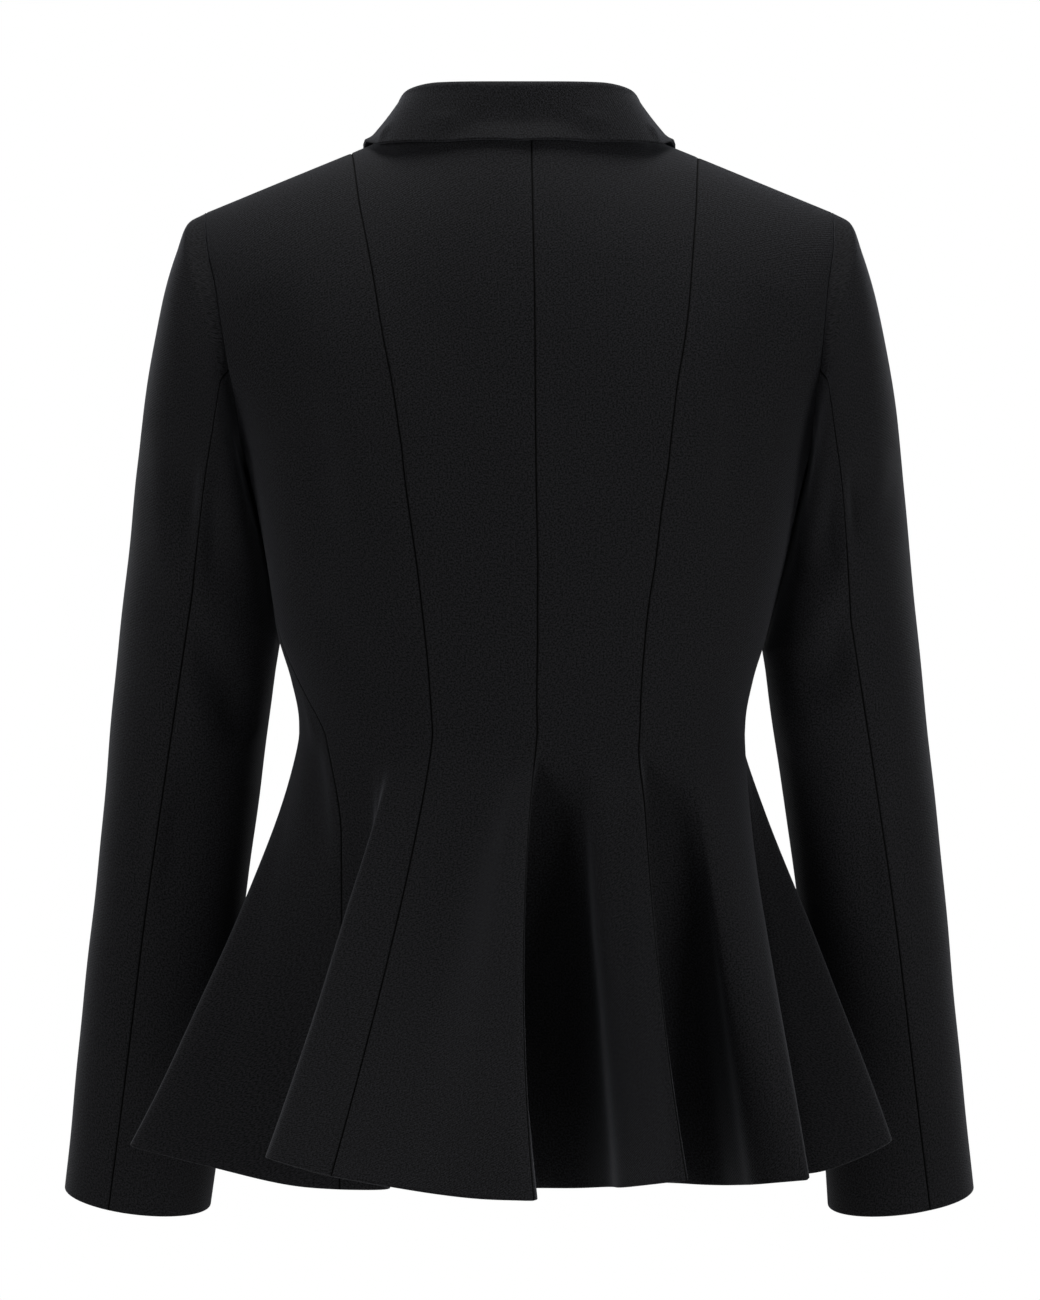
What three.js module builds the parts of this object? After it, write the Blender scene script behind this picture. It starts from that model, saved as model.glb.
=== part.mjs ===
import * as THREE from 'three';

// A woman's tailored jacket with a flared, deeply folded skirt, filled out as if it were worn.
// Millimetres, +Z up. The front faces -Y and the wearer's left is +X. The origin lies midway between
// the two shoulder seams, at the height of the neck points. Angles run from the centre back (0)
// past the left side (90) to the centre front (180), and on to the right side (270 or -90).

// Cloth and seams
const CLOTH = 2.0;            // thickness of every wall
const SEAM_GAP = 0.3;         // clear width between two pieces that are sewn together
const BLACK_WOOL = 0x1d1d20;
const BLACK_HORN = 0x141416;

// Heights of the trunk
const UNDERARM_Z = -195;
const WAIST_Z = -370;
const SECTION_POWER = 2.3;    // 2 is an ellipse, more is squarer
const FLARE_POWER = 1.22;     // how slowly the skirt leaves the waist

// Neck and shoulders
const NECK_HALF = 80;         // half the width between the neck points
const NAPE_Z = 8;
const NAPE_Y = 60;
const FRONT_NECK_Y = -62;
const SHOULDER_Y = 5;
const SHOULDER_DROP = 0.409;  // fall of the shoulder seam for each millimetre outwards

// Front closing
const OVERLAP = 20;           // each front passes the centre by this much
const BREAK_Z = -345;         // the lapel starts to turn back here
const FRONT_RAMP = 3.4;       // the right front lies this far outside the left one
const LAPEL_LIFT = 3.4;       // outer face of the lapel above the front it lies on
const UNDER_LAPEL_Z = -266;   // the left lapel comes out from under the right front at this height
const UNDER_LAPEL_EDGE_Z = -303;

// Collar
const COLLAR_ROLL = 3.2;      // radius of the fold at the top of the collar
const COLLAR_LIFT = 2.7;      // outer face of the fall above the back and shoulders

// Button
const BUTTON_RADIUS = 11;
const BUTTON_THICK = 3.6;
const BUTTON_HOLE = 1.1;
const BUTTON_HOLE_OFFSET = 2.6;
const BUTTON_Z = -362;

function table(columns, rows) {
  return rows.map((row) => Object.fromEntries(columns.map((name, i) => [name, row[i]])));
}

// Horizontal sections of the trunk: half width, depth behind and in front of the side, sideways shift
const RINGS = table(['z', 'half', 'back', 'front', 'shift'], [
  [-370, 137.8, 92.0, 98, -1.2],
  [-361, 138.2, 92.5, 98.5, -1.4],
  [-336, 143.2, 94.0, 101, -1.6],
  [-311, 150.5, 96.5, 106, -2.0],
  [-286, 155.8, 99.5, 113, -3.2],
  [-261, 160.9, 103.0, 120, -4.3],
  [-225, 168.4, 106.0, 124, -4.5],
  [-195, 175.4, 106.5, 121, -4.5],
]);

// Above the underarm the section grows sideways by this factor
const WIDENING = table(['rise', 'factor'], [
  [0, 1], [0.21, 1.06], [0.336, 1.11], [0.46, 1.148], [0.584, 1.174], [0.71, 1.197], [0.832, 1.218], [1, 1.232],
]);

// Hem of the skirt, once round: the angle at the waist that each fold line starts from, where it ends at
// the hem, and how far it sways sideways on the way
const HEM = table(['name', 'angle', 'x', 'y', 'z', 'sway'], [
  ['centre back crest', -6, -9.2, 225, -641.5, 7],
  ['beside the centre back', 1, 24, 219, -641, 4],
  ['left back face', 14, 74, 197, -636, 0],
  ['left princess seam', 31.8, 112, 182, -630, 0],
  ['second crest left', 42, 152, 163, -620.5, 0],
  ['under the second crest', 47, 122, 112, -634, 0],
  ['deep valley left', 53, 80, 76, -646, 0],
  ['side seam left', 68.5, 134, 86, -645, 0],
  ['side face left', 82, 190, 76, -632, 0],
  ['first crest left', 93, 238.5, 50, -619, -1.5],
  ['side valley left', 104, 150, -22, -640, 0],
  ['front side crest left', 119, 176, -132, -626, 0],
  ['front valley left', 132, 100, -112, -642, 0],
  ['front crest left', 146, 108, -205, -630, 0],
  ['front inner valley left', 158, 55, -156, -644, 0],
  ['front edge left', 170, 24, -172, -648, 0],
  ['front edge right', 190, -24, -172, -648, 0],
  ['front inner valley right', 202, -55, -156, -644, 0],
  ['front crest right', 214, -108, -205, -630, 0],
  ['front valley right', 228, -100, -112, -642, 0],
  ['front side crest right', 241, -176, -132, -626, 0],
  ['side valley right', 250, -150, -26, -640, 0],
  ['sixth crest right', 258, -229.5, 38, -618, -7.5],
  ['sixth face right', 264, -186, 43, -636, -2],
  ['sixth valley right', 269, -138, 42, -640, 0],
  ['fifth crest right', 279, -175.5, 143, -635.5, 0],
  ['fifth valley right', 300, -128, 74, -644.5, 0],
  ['princess crest right', 318.8, -100, 205, -632, 5],
  ['valley right of centre back', 338, -46, 104, -646, 0],
]);

// Seams as angles, level by level. Level -2 is the hem, -1 the waist, 0 the underarm, 1 the shoulder.
const SEAMS = table(['level', 'centre', 'backLeft', 'backRight', 'sideLeft', 'sideRight', 'front'], [
  [-2, -6.0, 31.8, -41.2, 68.5, -91, 146],
  [-1, -6.0, 31.8, -41.2, 68.5, -91, 146],
  [-0.87, -5.6, 32.2, -40.9, 76, -91, 145.5],
  [-0.75, -5.5, 32.6, -40.6, 84, -90.5, 145],
  [-0.5, -4.4, 34.0, -40.0, 89, -90, 144],
  [-0.25, -3.4, 35.6, -40.3, 90, -90, 143.5],
  [0, -3.0, 37.3, -42.0, 90, -90, 143],
  [0.3, -3.2, 37.9, -42.3, 90, -90, 143],
  [0.6, -3.1, 39.7, -42.6, 90, -90, 142.8],
  [1, -3.4, 41.0, -43.2, 90, -90, 142.5],
]);

// Edge of the armhole as angles from the centre back, behind and in front of the arm
const ARMHOLE = table(['level', 'behind', 'before'], [
  [0, 90, 90],
  [0.05, 82.5, 98],
  [0.125, 78.5, 103],
  [0.2, 75.2, 107.5],
  [0.28, 73.0, 111],
  [0.38, 71.8, 113.5],
  [0.5, 71.2, 114.5],
  [0.65, 71.2, 114.5],
  [0.82, 71.0, 113],
  [1, 70.7, 111.7],
]);

// Sleeve, ring by ring from the armhole to the cuff. The outer and inner columns are where the ring
// crosses the arm's outer and inner side. Pitch tips the back of the ring down, in degrees. Lean moves
// the inner side to the wearer's right on both arms.
const SLEEVE = table(['at', 'outerX', 'outerZ', 'innerX', 'innerZ', 'centreY', 'halfDepth', 'pitch', 'lean'], [
  [0, 193.6, -46.5, 170.9, -195, -3.5, 51.5, 0, 0],
  [0.03, 204.0, -52.5, 168.1, -202, -4, 54, 0, 0],
  [0.08, 211.5, -71, 166, -212, -5, 57, 0, 0],
  [0.15, 220.5, -100, 162.5, -227, -8, 60, 1, 0],
  [0.25, 230.6, -150, 158.0, -250, -15, 61, 3, 0],
  [0.35, 237.8, -200, 153.5, -277, -22, 59, 5, 0],
  [0.45, 243.0, -250, 151.5, -304, -27, 56, 6, 0.2],
  [0.55, 249.4, -311, 154.2, -336, -32, 52, 7, 0.6],
  [0.68, 257.4, -386, 162.0, -395, -40, 47.5, 8, 1.2],
  [0.82, 266.8, -474, 173.9, -482, -51, 43, 10, 1.4],
  [0.93, 278.4, -585, 186.2, -592, -63, 40, 12, 0.8],
  [1, 286.4, -656, 194.6, -667, -71, 39, 13, 0],
]);

// Sleeve seams as angles round the ring: 0 outside, 90 at the back, 180 inside, 270 in front
const SLEEVE_SEAMS = table(['at', 'hind', 'fore'], [
  [0, 110, 222],
  [0.15, 102, 224],
  [0.3, 92, 226],
  [0.5, 83, 228],
  [0.75, 76, 228],
  [1, 69, 228],
]);

// Lapel as seen from the front: the fold line runs from the break to the neck point, and the edge
// column is how far out the lapel reaches at that height
const LAPEL = table(['z', 'edge'], [
  [-345, -17], [-318, 5], [-280, 30], [-230, 59], [-180, 86], [-130, 109], [-90, 124], [-62, 132],
]);

// The gorge is the seam between collar and lapel, from the fold line to the notch
const GORGE = { foldZ: -50, outX: 104, outZ: -58 };
const COLLAR_POINT = { x: 112, z: -36 };

// Collar stations from the centre back (0) to the gorge (1) on the left side. Seam is where the stand
// starts at the neck, fold is the top, and edge is the free lower edge of the fall.
const COLLAR = table(
  ['at', 'seamX', 'seamY', 'seamZ', 'foldX', 'foldY', 'foldZ', 'edgeX', 'edgeY', 'edgeZ'], [
  [0, 0, 58.2, 8.0, 0, 59.5, 28.8, 0, 70.0, -6.0],
  [0.18, 27, 54.5, 7.2, 26, 56.5, 29.0, 37, 66.5, -6.0],
  [0.36, 51, 45.0, 5.2, 49.5, 45.5, 29.3, 68, 53, -6.0],
  [0.54, 71, 27.5, 2.4, 66.5, 25.5, 26.5, 87, 32, -6.0],
  [0.68, 77.0, 5, 1.0, 71.5, 5, 19.5, 94, 5, -4.8],
  [0.82, 75.5, -22, -3, 74.5, -22, 10, 103, -21, -9],
  [0.92, 71, -52, -21, 71.5, -56, -14, 109, -41, -23],
  [1, 64.5, -80, -50, 65.5, -83, -50, 112, -55, -36],
]);

// Monotone cubic through two columns of a table, so that the curve never overshoots its rows
function along(rows, key, column, value) {
  const last = rows.length - 1;
  const x = (i) => rows[i][key];
  const slope = (i) => (rows[i + 1][column] - rows[i][column]) / (x(i + 1) - x(i));
  const tangent = (i) => {
    if (i === 0) return slope(0);
    if (i === last) return slope(last - 1);
    const before = slope(i - 1);
    const after = slope(i);
    if (before * after <= 0) return 0;
    const h0 = x(i) - x(i - 1);
    const h1 = x(i + 1) - x(i);
    return (3 * (h0 + h1)) / ((2 * h1 + h0) / before + (h1 + 2 * h0) / after);
  };
  const v = THREE.MathUtils.clamp(value, x(0), x(last));
  let i = 0;
  while (i < last - 1 && v > x(i + 1)) i += 1;
  const h = x(i + 1) - x(i);
  const t = (v - x(i)) / h;
  return (1 + 2 * t) * (1 - t) ** 2 * rows[i][column] + t * (1 - t) ** 2 * h * tangent(i)
    + t * t * (3 - 2 * t) * rows[i + 1][column] + t * t * (t - 1) * h * tangent(i + 1);
}

const radians = (degrees) => (degrees * Math.PI) / 180;
const mix = (a, b, t) => a + (b - a) * t;
const smooth = (value, from, to) => THREE.MathUtils.smoothstep(value, from, to);

// Trunk section at one height: depth behind or in front, by the sign of the cosine
function section(angle, z) {
  const half = along(RINGS, 'z', 'half', z);
  const sine = Math.sin(angle);
  const cosine = Math.cos(angle);
  const depth = along(RINGS, 'z', cosine >= 0 ? 'back' : 'front', z);
  const sum = Math.abs(sine / half) ** SECTION_POWER + Math.abs(cosine / depth) ** SECTION_POWER;
  const reach = sum ** (-1 / SECTION_POWER);
  return { x: reach * sine, y: reach * cosine, shift: along(RINGS, 'z', 'shift', z) };
}

// Rows of the hem table unrolled past both ends, so that any angle finds two rows on each side of it
const HEM_COUNT = HEM.length;
const HEM_KEYS = [];
for (let i = -1; i <= HEM_COUNT + 1; i += 1) {
  const turns = Math.floor(i / HEM_COUNT);
  HEM_KEYS.push({ index: i, angle: HEM[i - turns * HEM_COUNT].angle + 360 * turns });
}

// Closed centripetal spline through the hem table: the distance between rows sets the pace, so a row
// close to its neighbour makes no loop
function hemPoint(angle) {
  const first = HEM[0].angle;
  const degrees = THREE.MathUtils.euclideanModulo((angle * 180) / Math.PI - first, 360) + first;
  const place = along(HEM_KEYS, 'angle', 'index', degrees);
  const from = Math.min(Math.max(Math.floor(place), 0), HEM_COUNT - 1);
  const t = place - from;
  const near = [-1, 0, 1, 2].map((step) => HEM[(from + step + HEM_COUNT) % HEM_COUNT]);
  const pace = [0, 1, 2].map((i) => {
    const { x, y, z } = near[i];
    return Math.hypot(near[i + 1].x - x, near[i + 1].y - y, near[i + 1].z - z) ** 0.5;
  });
  const result = {};
  for (const column of ['x', 'y', 'z', 'sway']) {
    const [a, b, c, d] = near.map((row) => row[column]);
    const leave = ((b - a) / pace[0] - (c - a) / (pace[0] + pace[1]) + (c - b) / pace[1]) * pace[1];
    const arrive = ((c - b) / pace[1] - (d - b) / (pace[1] + pace[2]) + (d - c) / pace[2]) * pace[1];
    result[column] = b + leave * t + (-3 * b + 3 * c - 2 * leave - arrive) * t * t
      + (2 * b - 2 * c + leave + arrive) * t ** 3;
  }
  return result;
}

// Skirt: each fold line runs from the waist to its place on the hem, slowly at first
function skirtPoint(angle, down) {
  const waist = section(angle, WAIST_Z);
  const hem = hemPoint(angle);
  const out = down ** FLARE_POWER;
  const sway = hem.sway * 4 * down * (1 - down);
  const x0 = waist.x + waist.shift;
  return new THREE.Vector3(mix(x0, hem.x, out) + sway, mix(waist.y, hem.y, out), mix(WAIST_Z, hem.z, down));
}

// Shoulders: the section rises and widens, then closes over to the shoulder seam and the neckline
function shoulderPoint(angle, up) {
  const rise = Math.sin((up * Math.PI) / 2);
  const base = section(angle, UNDERARM_Z);
  const x = base.x * along(WIDENING, 'rise', 'factor', rise);
  const inNeck = Math.max(0, 1 - (x / NECK_HALF) ** 2);
  const behind = Math.cos(angle) >= 0;
  const neckY = behind ? NAPE_Y : FRONT_NECK_Y;
  const bend = mix(1.5, 0.5, smooth(up, 0.6, 1));
  const topY = SHOULDER_Y + (neckY - SHOULDER_Y) * inNeck ** bend;
  const slope = -(Math.abs(x) - NECK_HALF) * SHOULDER_DROP;
  const topZ = Math.abs(x) < NECK_HALF ? (behind ? NAPE_Z : 0) * inNeck : slope;
  const over = 1 - Math.cos((up * Math.PI) / 2);
  const upright = rise ** (behind ? 3 : 2);
  const close = mix(upright, over, smooth(Math.abs(x), 0, NECK_HALF));
  return new THREE.Vector3(
    x + base.shift * (1 - rise),
    mix(base.y, topY, close),
    mix(UNDERARM_Z, topZ, rise),
  );
}

function bodyPoint(degrees, level) {
  const angle = radians(degrees);
  if (level < -1) return skirtPoint(angle, -1 - level);
  if (level >= 0) return shoulderPoint(angle, level);
  const z = mix(WAIST_Z, UNDERARM_Z, level + 1);
  const ring = section(angle, z);
  return new THREE.Vector3(ring.x + ring.shift, ring.y, z);
}

// Outward normal of a surface given by two numbers, from points a little to each side. Where the
// surface ends, the step stays inside it.
function normalOf(surface, u, v, range) {
  const du = 0.002 * (range.uMax - range.uMin);
  const dv = 0.002 * (range.vMax - range.vMin);
  const u0 = Math.max(u - du, range.uMin);
  const u1 = Math.min(u + du, range.uMax);
  const v0 = Math.max(v - dv, range.vMin);
  const v1 = Math.min(v + dv, range.vMax);
  const alongU = surface(u1, v).sub(surface(u0, v));
  const alongV = surface(u, v1).sub(surface(u, v0));
  return alongV.cross(alongU).normalize();
}

// A wall of cloth over a grid of outer points: the inner points lie one thickness behind them along the
// normals, the rim is closed, and each sewn side is drawn in by half a seam gap.
function clothWall(outer, normals, sewn = SEAM_GAP / 2) {
  const rows = outer.length;
  const cols = outer[0].length;
  const inner = outer.map((row, i) => row.map((p, j) => p.clone().addScaledVector(normals[i][j], -CLOTH)));
  for (const face of [outer, inner]) {
    for (const row of face) {
      const start = row[1].clone().sub(row[0]).setLength(sewn);
      const end = row[cols - 2].clone().sub(row[cols - 1]).setLength(sewn);
      row[0].add(start);
      row[cols - 1].add(end);
    }
    for (let j = 0; j < cols; j += 1) {
      const start = face[1][j].clone().sub(face[0][j]).setLength(sewn);
      const end = face[rows - 2][j].clone().sub(face[rows - 1][j]).setLength(sewn);
      face[0][j].add(start);
      face[rows - 1][j].add(end);
    }
  }
  const positions = [];
  for (const face of [outer, inner]) {
    for (const row of face) {
      for (const p of row) positions.push(p.x, p.y, p.z);
    }
  }
  const index = [];
  const at = (face, i, j) => face * rows * cols + i * cols + j;
  const quad = (a, b, c, d) => index.push(a, b, c, a, c, d);
  for (let i = 0; i < rows - 1; i += 1) {
    for (let j = 0; j < cols - 1; j += 1) {
      quad(at(0, i, j), at(0, i, j + 1), at(0, i + 1, j + 1), at(0, i + 1, j));
      quad(at(1, i, j), at(1, i + 1, j), at(1, i + 1, j + 1), at(1, i, j + 1));
    }
  }
  for (let j = 0; j < cols - 1; j += 1) {
    quad(at(0, 0, j + 1), at(0, 0, j), at(1, 0, j), at(1, 0, j + 1));
    quad(at(0, rows - 1, j), at(0, rows - 1, j + 1), at(1, rows - 1, j + 1), at(1, rows - 1, j));
  }
  for (let i = 0; i < rows - 1; i += 1) {
    quad(at(0, i, 0), at(0, i + 1, 0), at(1, i + 1, 0), at(1, i, 0));
    quad(at(0, i + 1, cols - 1), at(0, i, cols - 1), at(1, i, cols - 1), at(1, i + 1, cols - 1));
  }
  const geometry = new THREE.BufferGeometry();
  geometry.setAttribute('position', new THREE.Float32BufferAttribute(positions, 3));
  geometry.setIndex(index);
  geometry.computeVertexNormals();
  return geometry;
}

function spread(from, to, steps) {
  return Array.from({ length: steps + 1 }, (_, i) => mix(from, to, i / steps));
}

const jacket = new THREE.Group();

function addPiece(name, geometry, color = BLACK_WOOL, roughness = 0.85) {
  const material = new THREE.MeshStandardMaterial({ color, roughness, metalness: 0 });
  const mesh = new THREE.Mesh(geometry, material);
  mesh.name = name;
  jacket.add(mesh);
}

// Trunk panels
const BODY_RANGE = { uMin: -400, uMax: 400, vMin: -2, vMax: 1 };
const SHOULDER_LEVELS = [0.04, 0.09, 0.16, 0.25, 0.36, 0.48, 0.61, 0.75, 0.88, 1];
const LEVELS = [...spread(-2, -1, 9), ...spread(-1, 0, 5).slice(1), ...SHOULDER_LEVELS].reverse();

// The right front lies over the left one, so it stands out by a ramp near the centre front
function frontRamp(degrees, level) {
  const fromCentre = Math.abs(degrees) - 180;
  const near = 1 - smooth(degrees < 0 ? -fromCentre : fromCentre, 12, 26);
  return FRONT_RAMP * near * (1 - smooth(level, 0.1, 0.6));
}

function rightFrontPoint(degrees, level) {
  const normal = normalOf(bodyPoint, degrees, level, BODY_RANGE);
  return bodyPoint(degrees, level).addScaledVector(normal, frontRamp(degrees, level));
}

// How far out the fold line of the lapel lies at a height, below the break the front edge
function foldX(z) {
  return z < BREAK_Z ? -OVERLAP : mix(-OVERLAP, NECK_HALF, (z - BREAK_Z) / -BREAK_Z);
}

// Angle of the front edge at a level, found by halving: side is 1 for the left front, -1 for the right
function frontEdge(side, level) {
  let low = along(SEAMS, 'level', 'front', level) + 1;
  let high = 205;
  for (let i = 0; i < 40; i += 1) {
    const middle = (low + high) / 2;
    const p = bodyPoint(side * middle, level);
    if (side * p.x > foldX(p.z)) low = middle;
    else high = middle;
  }
  return side * low;
}

const seam = (name) => (level) => along(SEAMS, 'level', name, level);
const armhole = (name, side) => (level) => side * along(ARMHOLE, 'level', name, level);
const joined = (below, above) => (level) => (level < 0 ? below(level) : above(level));

const PANELS = [
  { name: 'back_left', from: seam('centre'), to: seam('backLeft') },
  { name: 'side_back_left', from: seam('backLeft'), to: joined(seam('sideLeft'), armhole('behind', 1)) },
  { name: 'side_front_left', from: joined(seam('sideLeft'), armhole('before', 1)), to: seam('front') },
  { name: 'front_left', from: seam('front'), to: (level) => frontEdge(1, level) },
  { name: 'back_right', from: seam('backRight'), to: seam('centre') },
  { name: 'side_back_right', from: joined(seam('sideRight'), armhole('behind', -1)), to: seam('backRight') },
  { name: 'side_front_right', from: (level) => -seam('front')(level), to: joined(seam('sideRight'), armhole('before', -1)) },
  {
    name: 'front_right',
    from: (level) => frontEdge(-1, level),
    to: (level) => -seam('front')(level),
    surface: rightFrontPoint,
  },
];

// Where the columns of a panel stand, as shares of its width: on every fold line of the hem between
// its two seams, with more between them where they are far apart
function columnShares(panel) {
  const from = panel.from(-2);
  const to = panel.to(-2);
  const stops = [from, to];
  for (const row of HEM) {
    for (const angle of [row.angle, row.angle - 360]) {
      if (angle > from + 2 && angle < to - 2) stops.push(angle);
    }
  }
  stops.sort((a, b) => a - b);
  const shares = [0];
  for (let i = 0; i < stops.length - 1; i += 1) {
    const steps = Math.max(2, Math.round((stops[i + 1] - stops[i]) / 4.5));
    for (const angle of spread(stops[i], stops[i + 1], steps).slice(1)) shares.push((angle - from) / (to - from));
  }
  return shares;
}

for (const panel of PANELS) {
  const surface = panel.surface ?? bodyPoint;
  const shares = columnShares(panel);
  const points = [];
  const normals = [];
  for (const level of LEVELS) {
    const from = panel.from(level);
    const to = panel.to(level);
    points.push(shares.map((share) => surface(mix(from, to, share), level)));
    normals.push(shares.map((share) => normalOf(surface, mix(from, to, share), level, BODY_RANGE)));
  }
  addPiece(panel.name, clothWall(points, normals));
}

// Sleeves
const SLEEVE_RANGE = { uMin: -400, uMax: 400, vMin: 0, vMax: 1 };
const SLEEVE_STEPS = [
  0, 0.02, 0.045, 0.075, 0.11, 0.15, 0.2, 0.26, 0.32, 0.39, 0.46, 0.54, 0.62, 0.7, 0.78, 0.86, 0.93, 1,
];
const BODY_CLEARANCE = 1.6;   // the sleeve hangs this far from the trunk's side
const HEAD_GAP = 0.45;        // extra width at the head, where both edges bend

// The point of the armhole edge at a height, behind or in front of the arm
function armholePoint(side, name, z) {
  let low = 0;
  let high = 1;
  for (let i = 0; i < 36; i += 1) {
    const level = (low + high) / 2;
    if (bodyPoint(armhole(name, side)(level), level).z < z) low = level;
    else high = level;
  }
  return bodyPoint(armhole(name, side)(low), low);
}

function sleeveRing(side, angle, at) {
  const value = (name) => along(SLEEVE, 'at', name, at);
  const innerZ = value('innerZ');
  let innerX = value('innerX');
  innerX -= side * value('lean');
  if (innerZ > WAIST_Z && innerZ <= UNDERARM_Z) {
    const trunk = along(RINGS, 'z', 'half', innerZ) + side * along(RINGS, 'z', 'shift', innerZ);
    innerX = Math.max(innerX, trunk + BODY_CLEARANCE * smooth(at, 0, 0.05));
  }
  const half = value('halfDepth');
  const pitch = radians(value('pitch'));
  const x = mix(innerX, value('outerX'), 0.5 + 0.5 * Math.cos(angle));
  const z = mix(innerZ, value('outerZ'), 0.5 + 0.5 * Math.cos(angle));
  return new THREE.Vector3(
    side * x,
    value('centreY') + half * Math.cos(pitch) * Math.sin(angle),
    z - half * Math.sin(pitch) * Math.sin(angle),
  );
}

// The sleeve starts on the armhole edge and settles into plain rings by a third of its length
function sleevePoint(side) {
  return (degrees, at) => {
    const angle = radians(degrees);
    const ring = sleeveRing(side, angle, at);
    const start = sleeveRing(side, angle, 0);
    const edge = armholePoint(side, Math.sin(angle) >= 0 ? 'behind' : 'before', start.z);
    edge.x += side * HEAD_GAP;
    const fade = (1 - smooth(at, 0, 0.4)) ** 2;
    return ring.addScaledVector(edge.sub(start), fade);
  };
}

for (const [label, side] of [['left', 1], ['right', -1]]) {
  const surface = sleevePoint(side);
  const halves = [
    { name: `upper_sleeve_${label}`, from: (at) => along(SLEEVE_SEAMS, 'at', 'fore', at) - 360,
      to: (at) => along(SLEEVE_SEAMS, 'at', 'hind', at), steps: 12 },
    { name: `under_sleeve_${label}`, from: (at) => along(SLEEVE_SEAMS, 'at', 'hind', at),
      to: (at) => along(SLEEVE_SEAMS, 'at', 'fore', at), steps: 8 },
  ];
  for (const half of halves) {
    const points = [];
    const normals = [];
    for (const at of SLEEVE_STEPS) {
      const angles = spread(half.from(at), half.to(at), half.steps);
      if (side < 0) angles.reverse();
      points.push(angles.map((angle) => surface(angle, at)));
      normals.push(angles.map((angle) => normalOf(surface, angle, at, SLEEVE_RANGE).multiplyScalar(side)));
    }
    points.reverse();
    normals.reverse();
    addPiece(half.name, clothWall(points, normals, 1.1 * SEAM_GAP));
  }
}

// The trunk's surface at a place given by how far out and how high it is, in front or behind, with its
// outward normal. Above the shoulder seam it is the seam itself.
function bodyAt(x, z, front) {
  const side = x < 0 ? -1 : 1;
  const inNeck = Math.max(0, 1 - (x / NECK_HALF) ** 2);
  const topZ = Math.abs(x) < NECK_HALF ? (front ? 0 : NAPE_Z) * inNeck : -(Math.abs(x) - NECK_HALF) * SHOULDER_DROP;
  const turn = (angle) => (side * angle * 180) / Math.PI;
  if (z >= topZ) {
    const normal = new THREE.Vector3(side * SHOULDER_DROP, 0, 1).normalize();
    return { point: new THREE.Vector3(x, SHOULDER_Y, topZ), normal };
  }
  const rise = Math.max(0, (z - UNDERARM_Z) / (topZ - UNDERARM_Z));
  const ringZ = Math.min(z, UNDERARM_Z);
  const level = z < UNDERARM_Z ? (z - UNDERARM_Z) / (UNDERARM_Z - WAIST_Z) : (Math.asin(rise) * 2) / Math.PI;
  const half = along(RINGS, 'z', 'half', ringZ);
  const depth = along(RINGS, 'z', front ? 'front' : 'back', ringZ);
  const shift = along(RINGS, 'z', 'shift', ringZ) * (1 - rise);
  const across = Math.abs(x - shift) / along(WIDENING, 'rise', 'factor', rise);
  const deep = depth * Math.max(0, 1 - (across / half) ** SECTION_POWER) ** (1 / SECTION_POWER);
  const angle = turn(Math.atan2(across, front ? -deep : deep)) * (side * (x - shift) < 0 ? -1 : 1);
  return { point: bodyPoint(angle, level), normal: normalOf(bodyPoint, angle, level, BODY_RANGE) };
}

// Moves a point out until it is at least this far from the trunk
function liftedOff(point, lift) {
  const { point: base, normal } = bodyAt(point.x, point.z, point.y < SHOULDER_Y);
  const gap = point.clone().sub(base).dot(normal);
  return gap < lift ? point.clone().addScaledVector(normal, lift - gap) : point;
}

// Normals of a grid from its own neighbouring points
function gridNormals(points, sign) {
  const rows = points.length;
  const cols = points[0].length;
  return points.map((row, i) => row.map((_, j) => {
    const alongRow = row[Math.min(j + 1, cols - 1)].clone().sub(row[Math.max(j - 1, 0)]);
    const alongCol = points[Math.min(i + 1, rows - 1)][j].clone().sub(points[Math.max(i - 1, 0)][j]);
    return alongRow.cross(alongCol).normalize().multiplyScalar(sign);
  }));
}

// A grid wall seen from outside: the sign tells on which side of the grid the outside is
function gridWall(points, sign) {
  const turned = sign < 0 ? points.map((row) => [...row].reverse()) : points;
  return clothWall(turned, gridNormals(turned, 1));
}

// Lapels: each turns round the front edge in a small roll and lies on the front
const ROLL = table(['out', 'lift'], [[-2.6, -2.0], [-2.6, 0.4], [-1.7, 2.6], [0.6, 3.4]]);
const LAPEL_ROWS = 13;
const LAPEL_COLS = 6;

function onFront(side, x, z, lift) {
  const { point, normal } = bodyAt(side * x, z, true);
  const degrees = (Math.atan2(point.x, point.y) * 180) / Math.PI;
  const ramp = side < 0 ? frontRamp(degrees < 0 ? degrees : degrees - 360, 0) : 0;
  return point.addScaledVector(normal, lift + ramp);
}

// Height of the gorge line at a place across the chest
function gorgeZ(x) {
  const start = foldX(GORGE.foldZ);
  return mix(GORGE.foldZ, GORGE.outZ, THREE.MathUtils.clamp((x - start) / (GORGE.outX - start), 0, 1));
}

function lapelGrid(side) {
  const lowest = side < 0 ? BREAK_Z : UNDER_LAPEL_Z;
  const lowestEdge = side < 0 ? BREAK_Z : UNDER_LAPEL_EDGE_Z;
  return spread(0, 1, LAPEL_ROWS).map((share) => {
    const z = mix(lowest, GORGE.foldZ, share);
    const fold = foldX(z);
    const edgeZ = mix(lowestEdge, LAPEL[LAPEL.length - 1].z, share);
    const edgeX = along(LAPEL, 'z', 'edge', edgeZ);
    const row = ROLL.map(({ out, lift }) => onFront(side, fold + out, z, lift));
    const firstX = fold + ROLL[ROLL.length - 1].out;
    for (const across of spread(0, 1, LAPEL_COLS).slice(1)) {
      const x = mix(firstX, Math.max(edgeX, firstX + 4), across);
      row.push(onFront(side, x, Math.min(mix(z, edgeZ, across), gorgeZ(x)), LAPEL_LIFT));
    }
    return row;
  });
}

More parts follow.
